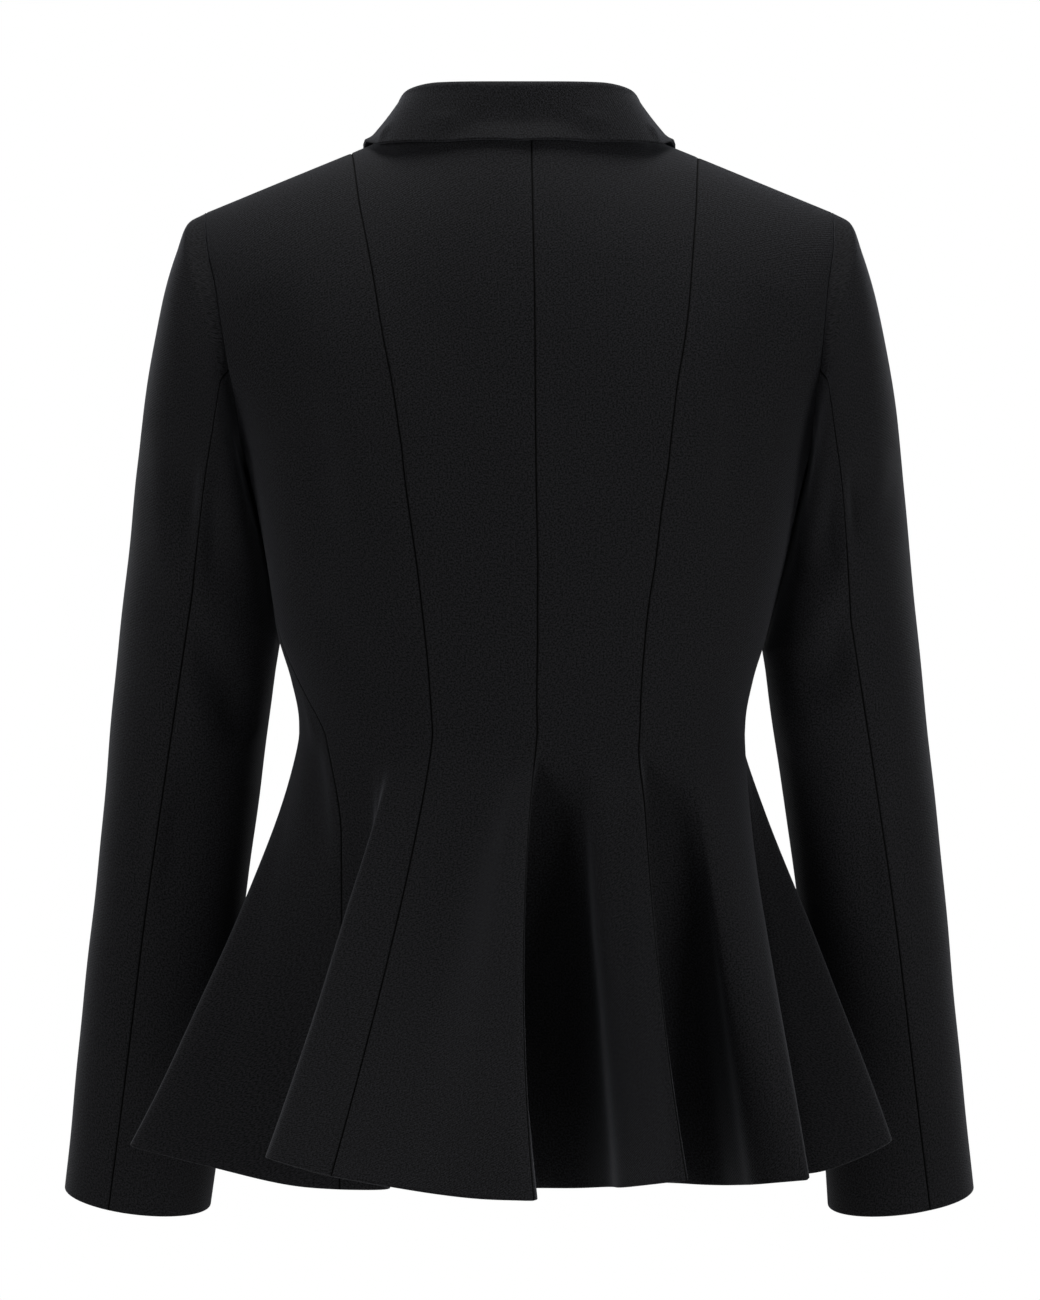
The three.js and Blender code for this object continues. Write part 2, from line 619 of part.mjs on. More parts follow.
// Collar: one wall that stands up from the neck, rolls over at the top and falls outside
const COLLAR_STATIONS = [0, 0.1, 0.2, 0.3, 0.4, 0.5, 0.6, 0.68, 0.76, 0.83, 0.89, 0.94, 0.975, 1];
const COLLAR_FALL = 5;

// The row at the gorge follows the lapel's top edge to the notch, then runs up to the collar's point
function collarEnd(side) {
  const fold = foldX(GORGE.foldZ);
  const row = table(['out', 'lift'], [[-2.6, -2], [-2.6, -0.8], [-2.6, 0.4], [-1.7, 2.6], [-0.5, 3], [0.6, 3.4]])
    .map(({ out, lift }) => onFront(side, fold + out, GORGE.foldZ, lift));
  for (const x of spread(fold + 4, GORGE.outX, 3)) row.push(onFront(side, x, gorgeZ(x), LAPEL_LIFT));
  for (const share of [0.5, 1]) {
    const x = mix(GORGE.outX, COLLAR_POINT.x, share);
    row.push(onFront(side, x, mix(GORGE.outZ, COLLAR_POINT.z, share), LAPEL_LIFT));
  }
  return row;
}

function collarRow(side, at) {
  const value = (name) => along(COLLAR, 'at', name, at);
  const vector = (name) => new THREE.Vector3(side * value(`${name}X`), value(`${name}Y`), value(`${name}Z`));
  const stand = vector('seam');
  const fold = vector('fold');
  const edge = vector('edge');
  const frontness = smooth(at, 0.7, 1);
  const up = new THREE.Vector3(0, 0, 1).lerp(bodyAt(stand.x, stand.z, true).normal, frontness).normalize();
  const out = edge.clone().sub(fold);
  out.addScaledVector(up, -out.dot(up)).normalize();
  const place = (o, u) => fold.clone().addScaledVector(out, o * COLLAR_ROLL).addScaledVector(up, u * COLLAR_ROLL);
  const row = [stand, stand.clone().lerp(place(-1, -1), 0.6), place(-1, -1), place(-0.75, -0.25)];
  row.push(place(0, 0), place(0.8, -0.25));
  for (const share of spread(0, 1, COLLAR_FALL)) {
    row.push(liftedOff(place(1, -1).lerp(edge, share), mix(COLLAR_LIFT, LAPEL_LIFT, smooth(at, 0.68, 1))));
  }
  const end = collarEnd(side);
  const turn = smooth(at, 0.84, 1);
  return row.map((p, j) => p.lerp(end[j], turn));
}

for (const [label, side] of [['left', 1], ['right', -1]]) {
  addPiece(`lapel_${label}`, gridWall(lapelGrid(side), side));
}

const leftCollar = COLLAR_STATIONS.map((at) => collarRow(1, at));
const rightCollar = COLLAR_STATIONS.slice(1).reverse().map((at) => collarRow(-1, at));
addPiece('collar', gridWall([...rightCollar, ...leftCollar], 1));

// Button on the right front at the waist
const disc = new THREE.Shape().absarc(0, 0, BUTTON_RADIUS, 0, 2 * Math.PI);
for (const [sx, sy] of [[1, 1], [-1, 1], [-1, -1], [1, -1]]) {
  const x = sx * BUTTON_HOLE_OFFSET;
  const y = sy * BUTTON_HOLE_OFFSET;
  disc.holes.push(new THREE.Path().absarc(x, y, BUTTON_HOLE, 0, 2 * Math.PI, true));
}
const rim = 0.8;
const buttonGeometry = new THREE.ExtrudeGeometry(disc, {
  depth: BUTTON_THICK - 2 * rim,
  bevelEnabled: true,
  bevelThickness: rim,
  bevelSize: rim,
  bevelOffset: -rim,
  bevelSegments: 1,
  curveSegments: 8,
});
const seat = bodyAt(0, BUTTON_Z, true);
buttonGeometry.translate(0, 0, rim + SEAM_GAP + 0.45);
addPiece('button', buttonGeometry, BLACK_HORN, 0.4);
const button = jacket.children[jacket.children.length - 1];
button.quaternion.setFromUnitVectors(new THREE.Vector3(0, 0, 1), seat.normal);
button.position.copy(seat.point).addScaledVector(seat.normal, FRONT_RAMP);

export default jacket;
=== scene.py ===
"""A woman's tailored blazer with a flared, deeply folded skirt, filled out as if it were worn.

Metres, +Z up. The front faces -Y and the wearer's left is +X. The origin lies midway between the two
shoulder seams, at the height of the neck points. Angles run from the centre back (0) past the left side
(90) to the centre front (180), and on to the right side (270 or -90), in degrees. Levels run from the
hem (-2) over the waist (-1) and the underarm (0) to the shoulder seam (1).
"""
import math

import bpy
import numpy as np
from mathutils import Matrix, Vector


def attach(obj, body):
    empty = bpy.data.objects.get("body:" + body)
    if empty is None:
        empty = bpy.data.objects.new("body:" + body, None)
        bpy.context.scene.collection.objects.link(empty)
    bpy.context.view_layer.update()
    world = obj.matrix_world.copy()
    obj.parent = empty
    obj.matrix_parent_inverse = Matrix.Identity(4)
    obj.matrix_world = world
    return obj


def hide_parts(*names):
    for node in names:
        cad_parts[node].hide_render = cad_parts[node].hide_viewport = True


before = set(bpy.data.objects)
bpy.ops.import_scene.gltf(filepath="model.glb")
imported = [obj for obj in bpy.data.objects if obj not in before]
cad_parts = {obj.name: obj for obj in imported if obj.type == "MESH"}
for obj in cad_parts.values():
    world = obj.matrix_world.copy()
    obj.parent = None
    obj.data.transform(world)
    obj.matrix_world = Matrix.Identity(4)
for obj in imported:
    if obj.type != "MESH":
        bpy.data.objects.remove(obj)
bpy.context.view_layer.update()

bl_info = {
    "name": "Tailored blazer",
    "version": (1, 0, 0),
    "blender": (4, 5, 0),
    "location": "View3D > Sidebar > Blazer",
    "description": "Builds a black wool blazer with a folded skirt, its button and a plain studio",
    "category": "Object",
}

# Heights of the trunk
UNDERARM_Z = -0.195
WAIST_Z = -0.370
SECTION_POWER = 2.3      # 2 is an ellipse, more is squarer

# Skirt
FULL_FLARE = 1.22        # folds whose flare is below this start softly
FLARE_RANGE = 0.2        # from this much below it the start is as soft as it gets
SOFT_START = 0.085       # share of the way down over which a soft fold comes in
FOLD_ROUNDING = 0.0045   # width of the bell that rounds the hem's crests

# Neck and shoulders
NECK_HALF = 0.080        # half the width between the neck points
NAPE_Z = 0.008
NAPE_Y = 0.060
FRONT_NECK_Y = -0.062
SHOULDER_Y = 0.005
SHOULDER_DROP = 0.409    # fall of the shoulder seam for each metre outwards

# Front closing
OVERLAP = 0.020          # each front passes the centre by this much
BREAK_Z = -0.345         # the lapel starts to turn back here
FRONT_RAMP = 0.0034      # the right front lies this far outside the left one
LAPEL_LIFT = 0.0034      # outer face of the lapel above the front it lies on
UNDER_LAPEL_Z = -0.266   # the left lapel comes out from under the right front at this height
UNDER_LAPEL_EDGE_Z = -0.303

# Collar
COLLAR_ROLL = 0.0032     # radius of the fold at the top of the collar
COLLAR_LIFT = 0.0027     # outer face of the fall above the back and shoulders

# Sleeves
BODY_CLEARANCE = 0.0016  # the sleeve hangs this far from the trunk's side
SLEEVE_TUCK = 0.0095     # the front inner side of the sleeve lies this much closer to the trunk
SLEEVE_FLAT = 0.4        # how much flatter than round the back of a sleeve is at its top
HEAD_GAP = 0.00002       # extra width at the head
HEAD_TUCK = 0.004        # how far the sleeve slips under the armhole's edge
HEAD_SINK = 0.0014       # how far its first row sinks into the armhole seam
STEADY_ROWS = 12         # rows at a sleeve's head that face the same way

# Mesh
TRUNK_LENGTH = 0.72      # shares out the rows of a panel, a little more than its length
SLEEVE_LENGTH = 0.64
SLEEVE_STEP = 0.004      # widest distance between two columns of a sleeve
LAPEL_ROWS = 90
COLLAR_ROWS = 70         # rows on each side of the centre back

# Seams and creases
CREASE_CLEAR = 0.012     # creases fade out this close to a seam
EASE_WIDTH = 0.004       # width of the shallow sinking beside a seam
PAINTED_SHADE_OUTER = 0.8        # the painted shade of a seam starts at this share of its width
PAINTED_SHADE_INNER = 0.15       # and is full from this share inwards

# Button
BUTTON_Z = -0.362
BUTTON_THICK = 0.0036
BUTTON_HOLE_OFFSET = 0.0026   # from the middle to the holes, both ways
BUTTON_GAP = 0.00075
THREAD_RADIUS = 0.00045
THREAD_DIP = 0.0012      # a strand's ends lie this far below the button's face
THREAD_RISE = 0.0016     # height of a strand's arch

# Camera and studio
CAMERA_AWAY = 4.5
CAMERA_X = -0.00043
CAMERA_Z = -0.3174
FRAME_HEIGHT = 0.806     # height of the picture's frame at the origin
SENSOR = 36.0
FLOOR_Z = -1.42
FLOOR_HALF = 5.0


def table(columns, rows):
    """Named columns of a table, each as an array with one number per row."""
    return dict(zip(columns.split(), np.array(rows, float).T))


# The tables hold the garment's shape. Angles are in degrees and lengths in metres, and levels, shares and
# factors are plain numbers.
# Half widths, depths behind and in front, and sideways shift of the trunk's sections
RINGS = table("z half back front shift", [
    (-0.37, 0.1378, 0.092, 0.098, -0.0012),
    (-0.361, 0.1382, 0.0925, 0.0985, -0.0014),
    (-0.336, 0.1432, 0.094, 0.101, -0.0016),
    (-0.311, 0.1505, 0.0965, 0.106, -0.002),
    (-0.286, 0.1558, 0.0995, 0.113, -0.0032),
    (-0.261, 0.1609, 0.103, 0.12, -0.0043),
    (-0.225, 0.1684, 0.106, 0.124, -0.0045),
    (-0.195, 0.1754, 0.1065, 0.121, -0.0045),
])

# How much wider than the underarm's section the shoulders get as they rise
WIDENING = table("rise factor", [
    (0, 1),
    (0.21, 1.06),
    (0.336, 1.11),
    (0.46, 1.148),
    (0.584, 1.174),
    (0.71, 1.197),
    (0.832, 1.218),
    (1, 1.232),
])

# Sway bows a fold line sideways on its way down, and flare says how late the line leaves the waist
HEM = table("angle x y z sway flare", [
    (-6, -0.0092, 0.225, -0.6415, 0.007, 0.86),  # centre back crest
    (1, 0.024, 0.219, -0.641, 0.004, 0.95),  # beside the centre back
    (14, 0.074, 0.197, -0.636, 0, 1.22),  # left back face
    (31.8, 0.112, 0.182, -0.63, 0, 1.22),  # left princess seam
    (42, 0.152, 0.163, -0.6205, 0, 1.1),  # second crest left
    (47, 0.122, 0.112, -0.634, 0, 1.22),  # under the second crest
    (53, 0.08, 0.076, -0.646, 0, 1.22),  # deep valley left
    (68.5, 0.134, 0.07, -0.645, 0, 1.22),  # side seam left
    (82, 0.19, 0.074, -0.632, 0, 1.22),  # side face left
    (93, 0.2385, 0.074, -0.619, -0.0015, 1.22),  # first crest left
    (104, 0.15, -0.022, -0.64, 0, 1.22),  # side valley left
    (119, 0.176, -0.132, -0.626, 0, 1.22),  # front side crest left
    (132, 0.1, -0.112, -0.642, 0, 1.22),  # front valley left
    (146, 0.108, -0.205, -0.63, 0, 1.22),  # front crest left
    (158, 0.055, -0.156, -0.644, 0, 1.22),  # front inner valley left
    (170, 0.024, -0.172, -0.648, 0, 1.22),  # front edge left
    (190, -0.024, -0.172, -0.648, 0, 1.22),  # front edge right
    (202, -0.055, -0.156, -0.644, 0, 1.22),  # front inner valley right
    (214, -0.108, -0.205, -0.63, 0, 1.22),  # front crest right
    (228, -0.1, -0.112, -0.642, 0, 1.22),  # front valley right
    (241, -0.176, -0.132, -0.626, 0, 1.22),  # front side crest right
    (250, -0.15, -0.026, -0.64, 0, 1.22),  # side valley right
    (258, -0.2295, 0.046, -0.618, -0.0075, 1.22),  # sixth crest right
    (264, -0.186, 0.06, -0.636, -0.002, 1.22),  # sixth face right
    (269, -0.138, 0.05, -0.64, 0, 1.22),  # sixth valley right
    (279, -0.1755, 0.132, -0.6355, 0, 1.22),  # fifth crest right
    (301, -0.144, 0.118, -0.64, 0, 1.1),  # fifth face right
    (305, -0.134, 0.092, -0.6425, 0, 1),  # left wall of the fifth face
    (310, -0.118, 0.066, -0.6445, 0.002, 1),  # fifth valley right
    (314.5, -0.097, 0.08, -0.642, 0.01, 1),  # under the princess crest
    (316.8, -0.092, 0.14, -0.637, 0.011, 0.9),  # right wall of the princess crest
    (318.8, -0.1, 0.192, -0.632, 0.005, 0.84),  # princess crest right
    (335.5, -0.062, 0.15, -0.6395, 0, 1.1),  # fourth face right
    (340, -0.053, 0.1, -0.643, 0, 1.05),  # left wall of the fourth face
    (345, -0.032, 0.078, -0.6455, 0.003, 1),  # valley right of centre back
    (349.5, -0.005, 0.09, -0.6445, 0.015, 1),  # under the centre back crest
    (352, 0.001, 0.17, -0.643, 0.014, 0.92),  # right wall of the centre back crest
])

# Angles of the trunk's seams, level by level
SEAMS = table("level centre back_left back_right side_left side_right front", [
    (-2, -6, 31.8, -41.2, 62, -91, 146),
    (-1.22, -6, 31.8, -41.2, 61, -91, 146),
    (-1, -6, 31.8, -41.2, 66.5, -91, 146),
    (-0.87, -5.6, 32.2, -40.9, 73.5, -91, 145.5),
    (-0.7, -5.5, 32.7, -40.5, 82, -90.4, 145),
    (-0.5, -4.4, 34, -40, 88, -90, 144),
    (-0.25, -3.4, 35.6, -40.3, 90, -90, 143.5),
    (0, -3, 37.3, -42, 90, -90, 143),
    (0.3, -3.2, 37.9, -42.3, 90, -90, 143),
    (0.6, -3.1, 39.7, -42.6, 90, -90, 142.8),
    (1, -3.4, 41, -43.2, 90, -90, 142.5),
])

# Angles of the armhole's edge behind and in front of the arm
ARMHOLE = table("level behind before", [
    (0, 90, 90),
    (0.05, 82.5, 98),
    (0.125, 78.5, 103),
    (0.2, 75.2, 107.5),
    (0.28, 73, 111),
    (0.38, 71.8, 113.5),
    (0.5, 71.2, 114.5),
    (0.65, 71.2, 114.5),
    (0.82, 71, 113),
    (1, 70.7, 111.7),
])

# Where each ring of a sleeve crosses the arm's outer and inner side, its middle and half depth from front
# to back, how far its back tips down in degrees, and how far its inner side leans to the wearer's right
SLEEVE = table("at outer_x outer_z inner_x inner_z centre_y half_depth pitch lean", [
    (0, 0.1936, -0.0465, 0.1709, -0.195, -0.0035, 0.0515, 0, 0),
    (0.03, 0.204, -0.0525, 0.1681, -0.202, -0.004, 0.054, 0, 0),
    (0.08, 0.2115, -0.071, 0.166, -0.212, -0.005, 0.057, 0, 0),
    (0.15, 0.2205, -0.1, 0.1625, -0.227, -0.008, 0.06, 1, 0),
    (0.25, 0.2306, -0.15, 0.158, -0.25, -0.015, 0.061, 3, 0),
    (0.35, 0.2378, -0.2, 0.1535, -0.277, -0.022, 0.059, 5, 0),
    (0.45, 0.243, -0.25, 0.1515, -0.304, -0.027, 0.056, 6, 0.0002),
    (0.55, 0.2494, -0.311, 0.1542, -0.336, -0.032, 0.052, 7, 0.0006),
    (0.68, 0.2574, -0.386, 0.162, -0.395, -0.04, 0.0475, 8, 0.0012),
    (0.82, 0.2668, -0.474, 0.1739, -0.482, -0.051, 0.043, 10, 0.0014),
    (0.93, 0.2784, -0.585, 0.1862, -0.592, -0.063, 0.04, 12, 0.0008),
    (1, 0.2864, -0.656, 0.1946, -0.667, -0.071, 0.039, 13, 0),
])

# Angles of a sleeve's two seams
SLEEVE_SEAMS = table("at hind fore", [
    (0, 110, 222),
    (0.15, 102, 224),
    (0.3, 92, 226),
    (0.5, 83, 228),
    (0.75, 76, 228),
    (1, 69, 228),
])

# How far out the lapel's edge lies, by height
LAPEL = table("z edge", [
    (-0.345, -0.017),
    (-0.318, 0.005),
    (-0.28, 0.03),
    (-0.23, 0.059),
    (-0.18, 0.086),
    (-0.13, 0.109),
    (-0.09, 0.124),
    (-0.062, 0.132),
])

# The collar's seam, fold and outer edge, from the centre back (0) to the gorge (1)
COLLAR = table("at seam_x seam_y seam_z fold_x fold_y fold_z edge_x edge_y edge_z", [
    (0, 0, 0.0582, 0.008, 0, 0.0595, 0.0288, 0, 0.067, -0.0106),
    (0.18, 0.027, 0.0545, 0.0072, 0.026, 0.0565, 0.029, 0.037, 0.0638, -0.0074),
    (0.36, 0.051, 0.045, 0.0052, 0.0495, 0.0455, 0.0293, 0.068, 0.051, -0.0062),
    (0.54, 0.071, 0.0275, 0.0024, 0.0665, 0.0255, 0.0265, 0.087, 0.032, -0.0065),
    (0.68, 0.077, 0.005, 0.001, 0.0715, 0.005, 0.0195, 0.0945, 0.005, -0.0058),
    (0.82, 0.0755, -0.022, -0.003, 0.0745, -0.022, 0.01, 0.0955, -0.021, -0.0128),
    (0.92, 0.071, -0.052, -0.021, 0.0715, -0.056, -0.014, 0.105, -0.041, -0.026),
    (1, 0.0645, -0.08, -0.05, 0.0655, -0.083, -0.05, 0.112, -0.055, -0.036),
])

# The gorge is the seam between collar and lapel, from the fold line to the notch
GORGE_FOLD_Z = -0.050
GORGE_OUT_X = 0.104
GORGE_OUT_Z = -0.058
COLLAR_POINT_X = 0.112
COLLAR_POINT_Z = -0.036

# How a lapel rolls round the front edge: steps out from the fold line and off the front
LAPEL_ROLL = [(-0.0026, -0.0020), (-0.0026, 0.0004), (-0.0017, 0.0026), (0.0006, 0.0034)]
COLLAR_END_ROLL = [
    (-0.0026, -0.0020), (-0.0026, -0.0008), (-0.0026, 0.0004),
    (-0.0017, 0.0026), (-0.0005, 0.0030), (0.0006, 0.0034),
]

# Slow swell of the cloth: wave length, direction, turn and height
UNEVEN = [
    (0.137, 0.62, 0.20, 0.76, 0.4, 0.00030),
    (0.091, 0.81, -0.35, 0.47, 2.1, 0.00022),
    (0.061, -0.42, 0.55, 0.72, 4.0, 0.00014),
    (0.173, 0.15, 0.71, -0.69, 5.2, 0.00035),
]

# Creases: start angle and level, end angle and level, bow in degrees, width and height. On a sleeve the
# angle runs from its outer side (0) over its back (90), and the level is 0 at the armhole and 1 at the cuff.
BODY_CREASES = [
    (63, 0.42, 60, -0.52, -3, 0.0208, -0.0047),  # drag below the left armhole, behind
    (50, 0.3, 50, -0.3, 0, 0.016, 0.002),
    (-61, 0.4, -63, -0.5, 4, 0.0192, -0.0043),  # drag below the right armhole, behind
    (-51, 0.34, -53, -0.2, 2, 0.016, 0.0018),
    (68, -0.4, 46, -0.92, 0, 0.016, -0.0025),  # pull towards the left waist
    (37, -0.66, 41.5, -1.04, 0, 0.013, -0.0013),
    (75, -0.86, 70.5, -1.04, 0, 0.007, 0.0014),  # soft pleat outside the left side seam
    (72, -1.0, 66, -1.3, 0, 0.011, -0.0028),  # hollow below it
    (36, -1.03, 44, -1.06, 0, 0.007, -0.0012),
    (-1, -1.1, 0.5, -1.27, 0, 0.005, 0.0009),  # faint ridge left of the centre back crest
    (16, 0.3, 13, -0.5, 2, 0.0224, -0.0016),
    (-20, 0.4, -17, -0.3, -2, 0.024, -0.0014),
    (-52, -0.8, -50, -1.08, 0, 0.012, -0.0009),
    (118, 0.3, 132, -0.5, 3, 0.0208, -0.004),  # the like of them in front, where nothing shows
    (-117, 0.3, -131, -0.5, -3, 0.02, -0.0041),
    (124, -0.5, 142, -0.95, 0, 0.016, -0.0025),
    (-126, -0.45, -143, -0.93, 0, 0.016, -0.0027),
    (148, -0.7, 163, -0.93, 0, 0.012, -0.001),
    (-150, -0.74, -164, -0.95, 0, 0.012, -0.0009),
]

LEFT_SLEEVE_CREASES = [
    (52, 0.25, 112, 0.45, 6, 0.0192, -0.0061),  # slanting drag above the elbow
    (40, 0.31, 96, 0.52, 4, 0.016, 0.0032),
    (84, 0.49, 140, 0.635, 0, 0.016, -0.0054),  # second drag at the elbow
    (60, 0.5, 110, 0.66, 0, 0.0176, 0.0025),
    (84, 0.66, 80, 0.82, 3, 0.0208, -0.0025),
    (18, 0.3, 60, 0.4, 0, 0.0176, -0.0022),
    (300, 0.4, 250, 0.47, 0, 0.0144, -0.0047),  # bends of the elbow in front
    (310, 0.47, 245, 0.54, 0, 0.0136, 0.0036),
    (305, 0.53, 252, 0.59, 0, 0.0144, -0.0043),
    (290, 0.16, 245, 0.22, 0, 0.016, -0.0032),
]

RIGHT_SLEEVE_CREASES = [
    (64, 0.28, 122, 0.4, 4, 0.0168, -0.0065),  # slanting drag above the elbow
    (74, 0.44, 128, 0.465, 0, 0.012, 0.0026),
    (70, 0.52, 128, 0.57, 4, 0.0176, -0.0065),  # hollow at the elbow
    (112, 0.58, 146, 0.655, 0, 0.014, 0.0018),
    (82, 0.68, 88, 0.84, -3, 0.0208, -0.0025),
    (20, 0.33, 58, 0.42, 0, 0.0176, -0.0022),
    (298, 0.41, 248, 0.46, 0, 0.0144, -0.0045),  # bends of the elbow in front
    (308, 0.48, 243, 0.53, 0, 0.0128, 0.0038),
    (300, 0.54, 250, 0.6, 0, 0.0144, -0.004),
    (288, 0.15, 246, 0.21, 0, 0.016, -0.0031),
]


def along(rows, key, column, value):
    """Monotone cubic through two columns of a table, which never overshoots its rows. Each row's slope
    is the harmonic mean of the slopes beside it, or none where those differ in sign."""
    x, y = rows[key], rows[column]
    step = np.diff(x)
    slope = np.diff(y) / step
    before, after = slope[:-1], slope[1:]
    same = before * after > 0
    weight = (2 * step[1:] + step[:-1]) / np.where(same, before, 1)
    weight = weight + (step[1:] + 2 * step[:-1]) / np.where(same, after, 1)
    middle = np.where(same, 3 * (step[1:] + step[:-1]) / np.where(weight == 0, 1, weight), 0)
    tangent = np.concatenate([slope[:1], middle, slope[-1:]])
    v = np.clip(value, x[0], x[-1])
    i = np.clip(np.searchsorted(x, v, side="right") - 1, 0, len(step) - 1)
    t = (v - x[i]) / step[i]
    return (
        (1 + 2 * t) * (1 - t) ** 2 * y[i]
        + t * (1 - t) ** 2 * step[i] * tangent[i]
        + t * t * (3 - 2 * t) * y[i + 1]
        + t * t * (t - 1) * step[i] * tangent[i + 1]
    )


def mix(a, b, t):
    return a + (b - a) * t


def smooth(value, low, high):
    """Smooth step from 0 at low to 1 at high."""
    t = np.clip((value - low) / (high - low), 0, 1)
    return t * t * (3 - 2 * t)


def xyz(x, y, z):
    return np.stack(np.broadcast_arrays(x, y, z), -1)


def unit(vectors):
    return vectors / np.maximum(np.linalg.norm(vectors, axis=-1, keepdims=True), 1e-12)


def section(degrees, z):
    """Trunk section at a height: a squared ellipse in polar form, with its own depth behind and in front."""
    angle = np.radians(degrees)
    half = along(RINGS, "z", "half", z)
    back = along(RINGS, "z", "back", z)
    front = along(RINGS, "z", "front", z)
    depth = np.where(np.cos(angle) >= 0, back, front)
    total = np.abs(np.sin(angle) / half) ** SECTION_POWER + np.abs(np.cos(angle) / depth) ** SECTION_POWER
    reach = total ** (-1 / SECTION_POWER)
    return reach * np.sin(angle), reach * np.cos(angle), along(RINGS, "z", "shift", z)


def raw_hem(degrees):
    """Closed centripetal spline through the hem table. The distance between rows sets the pace, so a row
    close to its neighbour makes no loop. Columns of the result are x, y, z, sway and flare."""
    count = len(HEM["angle"])
    turned = np.concatenate([HEM["angle"][-1:] - 360, HEM["angle"], HEM["angle"][:2] + 360])
    keys = {"angle": turned, "row": np.arange(-1, count + 2, dtype=float)}
    first = HEM["angle"][0]
    place = along(keys, "angle", "row", (degrees - first) % 360 + first)
    row = np.clip(np.floor(place).astype(int), 0, count - 1)
    t = (place - row)[..., None]
    corners = np.stack([HEM[name] for name in ("x", "y", "z", "sway", "flare")], -1)
    a, b, c, d = (corners[(row + step) % count] for step in (-1, 0, 1, 2))
    p, q, r = (
        np.linalg.norm((end - start)[..., :3], axis=-1, keepdims=True) ** 0.5
        for start, end in ((a, b), (b, c), (c, d))
    )
    leave = ((b - a) / p - (c - a) / (p + q) + (c - b) / q) * q
    arrive = ((c - b) / q - (d - b) / (q + r) + (d - c) / r) * q
    return b + leave * t + (3 * (c - b) - 2 * leave - arrive) * t**2 + (2 * (b - c) + leave + arrive) * t**3


def rounded_hem():
    """The hem curve with its crests rounded: sampled at even distances, blurred with a bell as wide as the
    rounding, and given back what the first blur took, so that the folds keep their reach."""
    degrees = np.linspace(0, 360, 5761)
    points = raw_hem(degrees)
    steps = np.linalg.norm(np.diff(points[:, :3], axis=0), axis=1)
    distance = np.concatenate([[0], np.cumsum(steps)])
    count = 2600
    even = np.linspace(0, distance[-1], count, endpoint=False)
    curve = np.stack([np.interp(even, distance, column) for column in points.T], -1)
    waves = np.fft.rfftfreq(count, distance[-1] / count)
    bell = np.exp(-2 * (np.pi * waves * FOLD_ROUNDING) ** 2)
    keep = 2 * bell - bell**2
    blurred = np.fft.irfft(np.fft.rfft(curve, axis=0) * keep[:, None], count, axis=0)
    closed = np.vstack([blurred, blurred[:1]])
    back = np.interp(distance, np.append(even, distance[-1]), np.arange(count + 1))
    spread = np.stack([np.interp(back, np.arange(count + 1), column) for column in closed.T], -1)
    return degrees, spread


HEM_DEGREES, HEM_CURVE = rounded_hem()


def hem_point(degrees):
    """Place on the rounded hem, its sway and its flare."""
    turned = degrees % 360
    return tuple(np.interp(turned, HEM_DEGREES, column) for column in HEM_CURVE.T)


def skirt(degrees, down):
    """Skirt: each fold line runs from the waist to its place on the hem, the slower at first the higher
    its flare is, and sways sideways by a bow between them. A fold with little flare starts softly."""
    x0, y0, shift = section(degrees, WAIST_Z)
    x1, y1, z1, sway, flare = hem_point(degrees)
    soft = np.clip((FULL_FLARE - flare) / FLARE_RANGE, 0, 1)
    out = down**flare * (1 - soft * np.exp(-((down / SOFT_START) ** 2)))
    x = mix(x0 + shift, x1, out) + sway * 4 * down * (1 - down)
    return xyz(x, mix(y0, y1, out), mix(WAIST_Z, z1, down))


def trunk(degrees, level):
    """Between waist and underarm: the section at that height, moved sideways by its shift."""
    z = mix(WAIST_Z, UNDERARM_Z, level + 1)
    x, y, shift = section(degrees, z)
    return xyz(x + shift, y, z)


def shoulder(degrees, up):
    """Shoulders: the section rises and widens on a quarter turn, then closes over to the shoulder seam,
    which falls away outwards, and to the neckline, which is round."""
    rise = np.sin(up * np.pi / 2)
    base_x, base_y, shift = section(degrees, UNDERARM_Z)
    x = base_x * along(WIDENING, "rise", "factor", rise)
    in_neck = np.maximum(0, 1 - (x / NECK_HALF) ** 2)
    behind = np.cos(np.radians(degrees)) >= 0
    neck_y = np.where(behind, NAPE_Y, FRONT_NECK_Y)
    bend = mix(1.5, 0.5, smooth(up, 0.6, 1))
    top_y = SHOULDER_Y + (neck_y - SHOULDER_Y) * in_neck**bend
    slope = -(np.abs(x) - NECK_HALF) * SHOULDER_DROP
    top_z = np.where(np.abs(x) < NECK_HALF, np.where(behind, NAPE_Z, 0) * in_neck, slope)
    over = 1 - np.cos(up * np.pi / 2)
    upright = rise ** np.where(behind, 3.0, 2.0)
    close = mix(upright, over, smooth(np.abs(x), 0, NECK_HALF))
    return xyz(x + shift * (1 - rise), mix(base_y, top_y, close), mix(UNDERARM_Z, top_z, rise))


def body(degrees, level):
    """The whole trunk: skirt below the waist, sections up to the underarm, shoulders above it."""
    degrees, level = np.broadcast_arrays(np.asarray(degrees, float), np.asarray(level, float))
    low = skirt(degrees, np.clip(-1 - level, 0, 1))
    middle = trunk(degrees, np.clip(level, -1, 0))
    high = shoulder(degrees, np.clip(level, 0, 1))
    return np.where((level < -1)[..., None], low, np.where((level < 0)[..., None], middle, high))


def normal_of(surface, u, v, low, high):
    """Outward normal of a surface from points a little to each side, kept inside its ends."""
    du, dv = 0.3, 0.002 * (high - low)
    along_u = surface(u + du, v) - surface(u - du, v)
    along_v = surface(u, np.minimum(v + dv, high)) - surface(u, np.maximum(v - dv, low))
    return unit(np.cross(along_v, along_u))


def front_ramp(degrees, level):
    """How far the right front stands out near the centre, so that it lies over the left one."""
    from_centre = np.abs(degrees) - 180
    near = 1 - smooth(np.where(degrees < 0, -from_centre, from_centre), 12, 26)
    return FRONT_RAMP * near * (1 - smooth(level, 0.1, 0.6))


def right_front(degrees, level):
    """The trunk moved out by the ramp."""
    normal = normal_of(body, degrees, level, -2, 1)
    return body(degrees, level) + normal * front_ramp(degrees, level)[..., None]


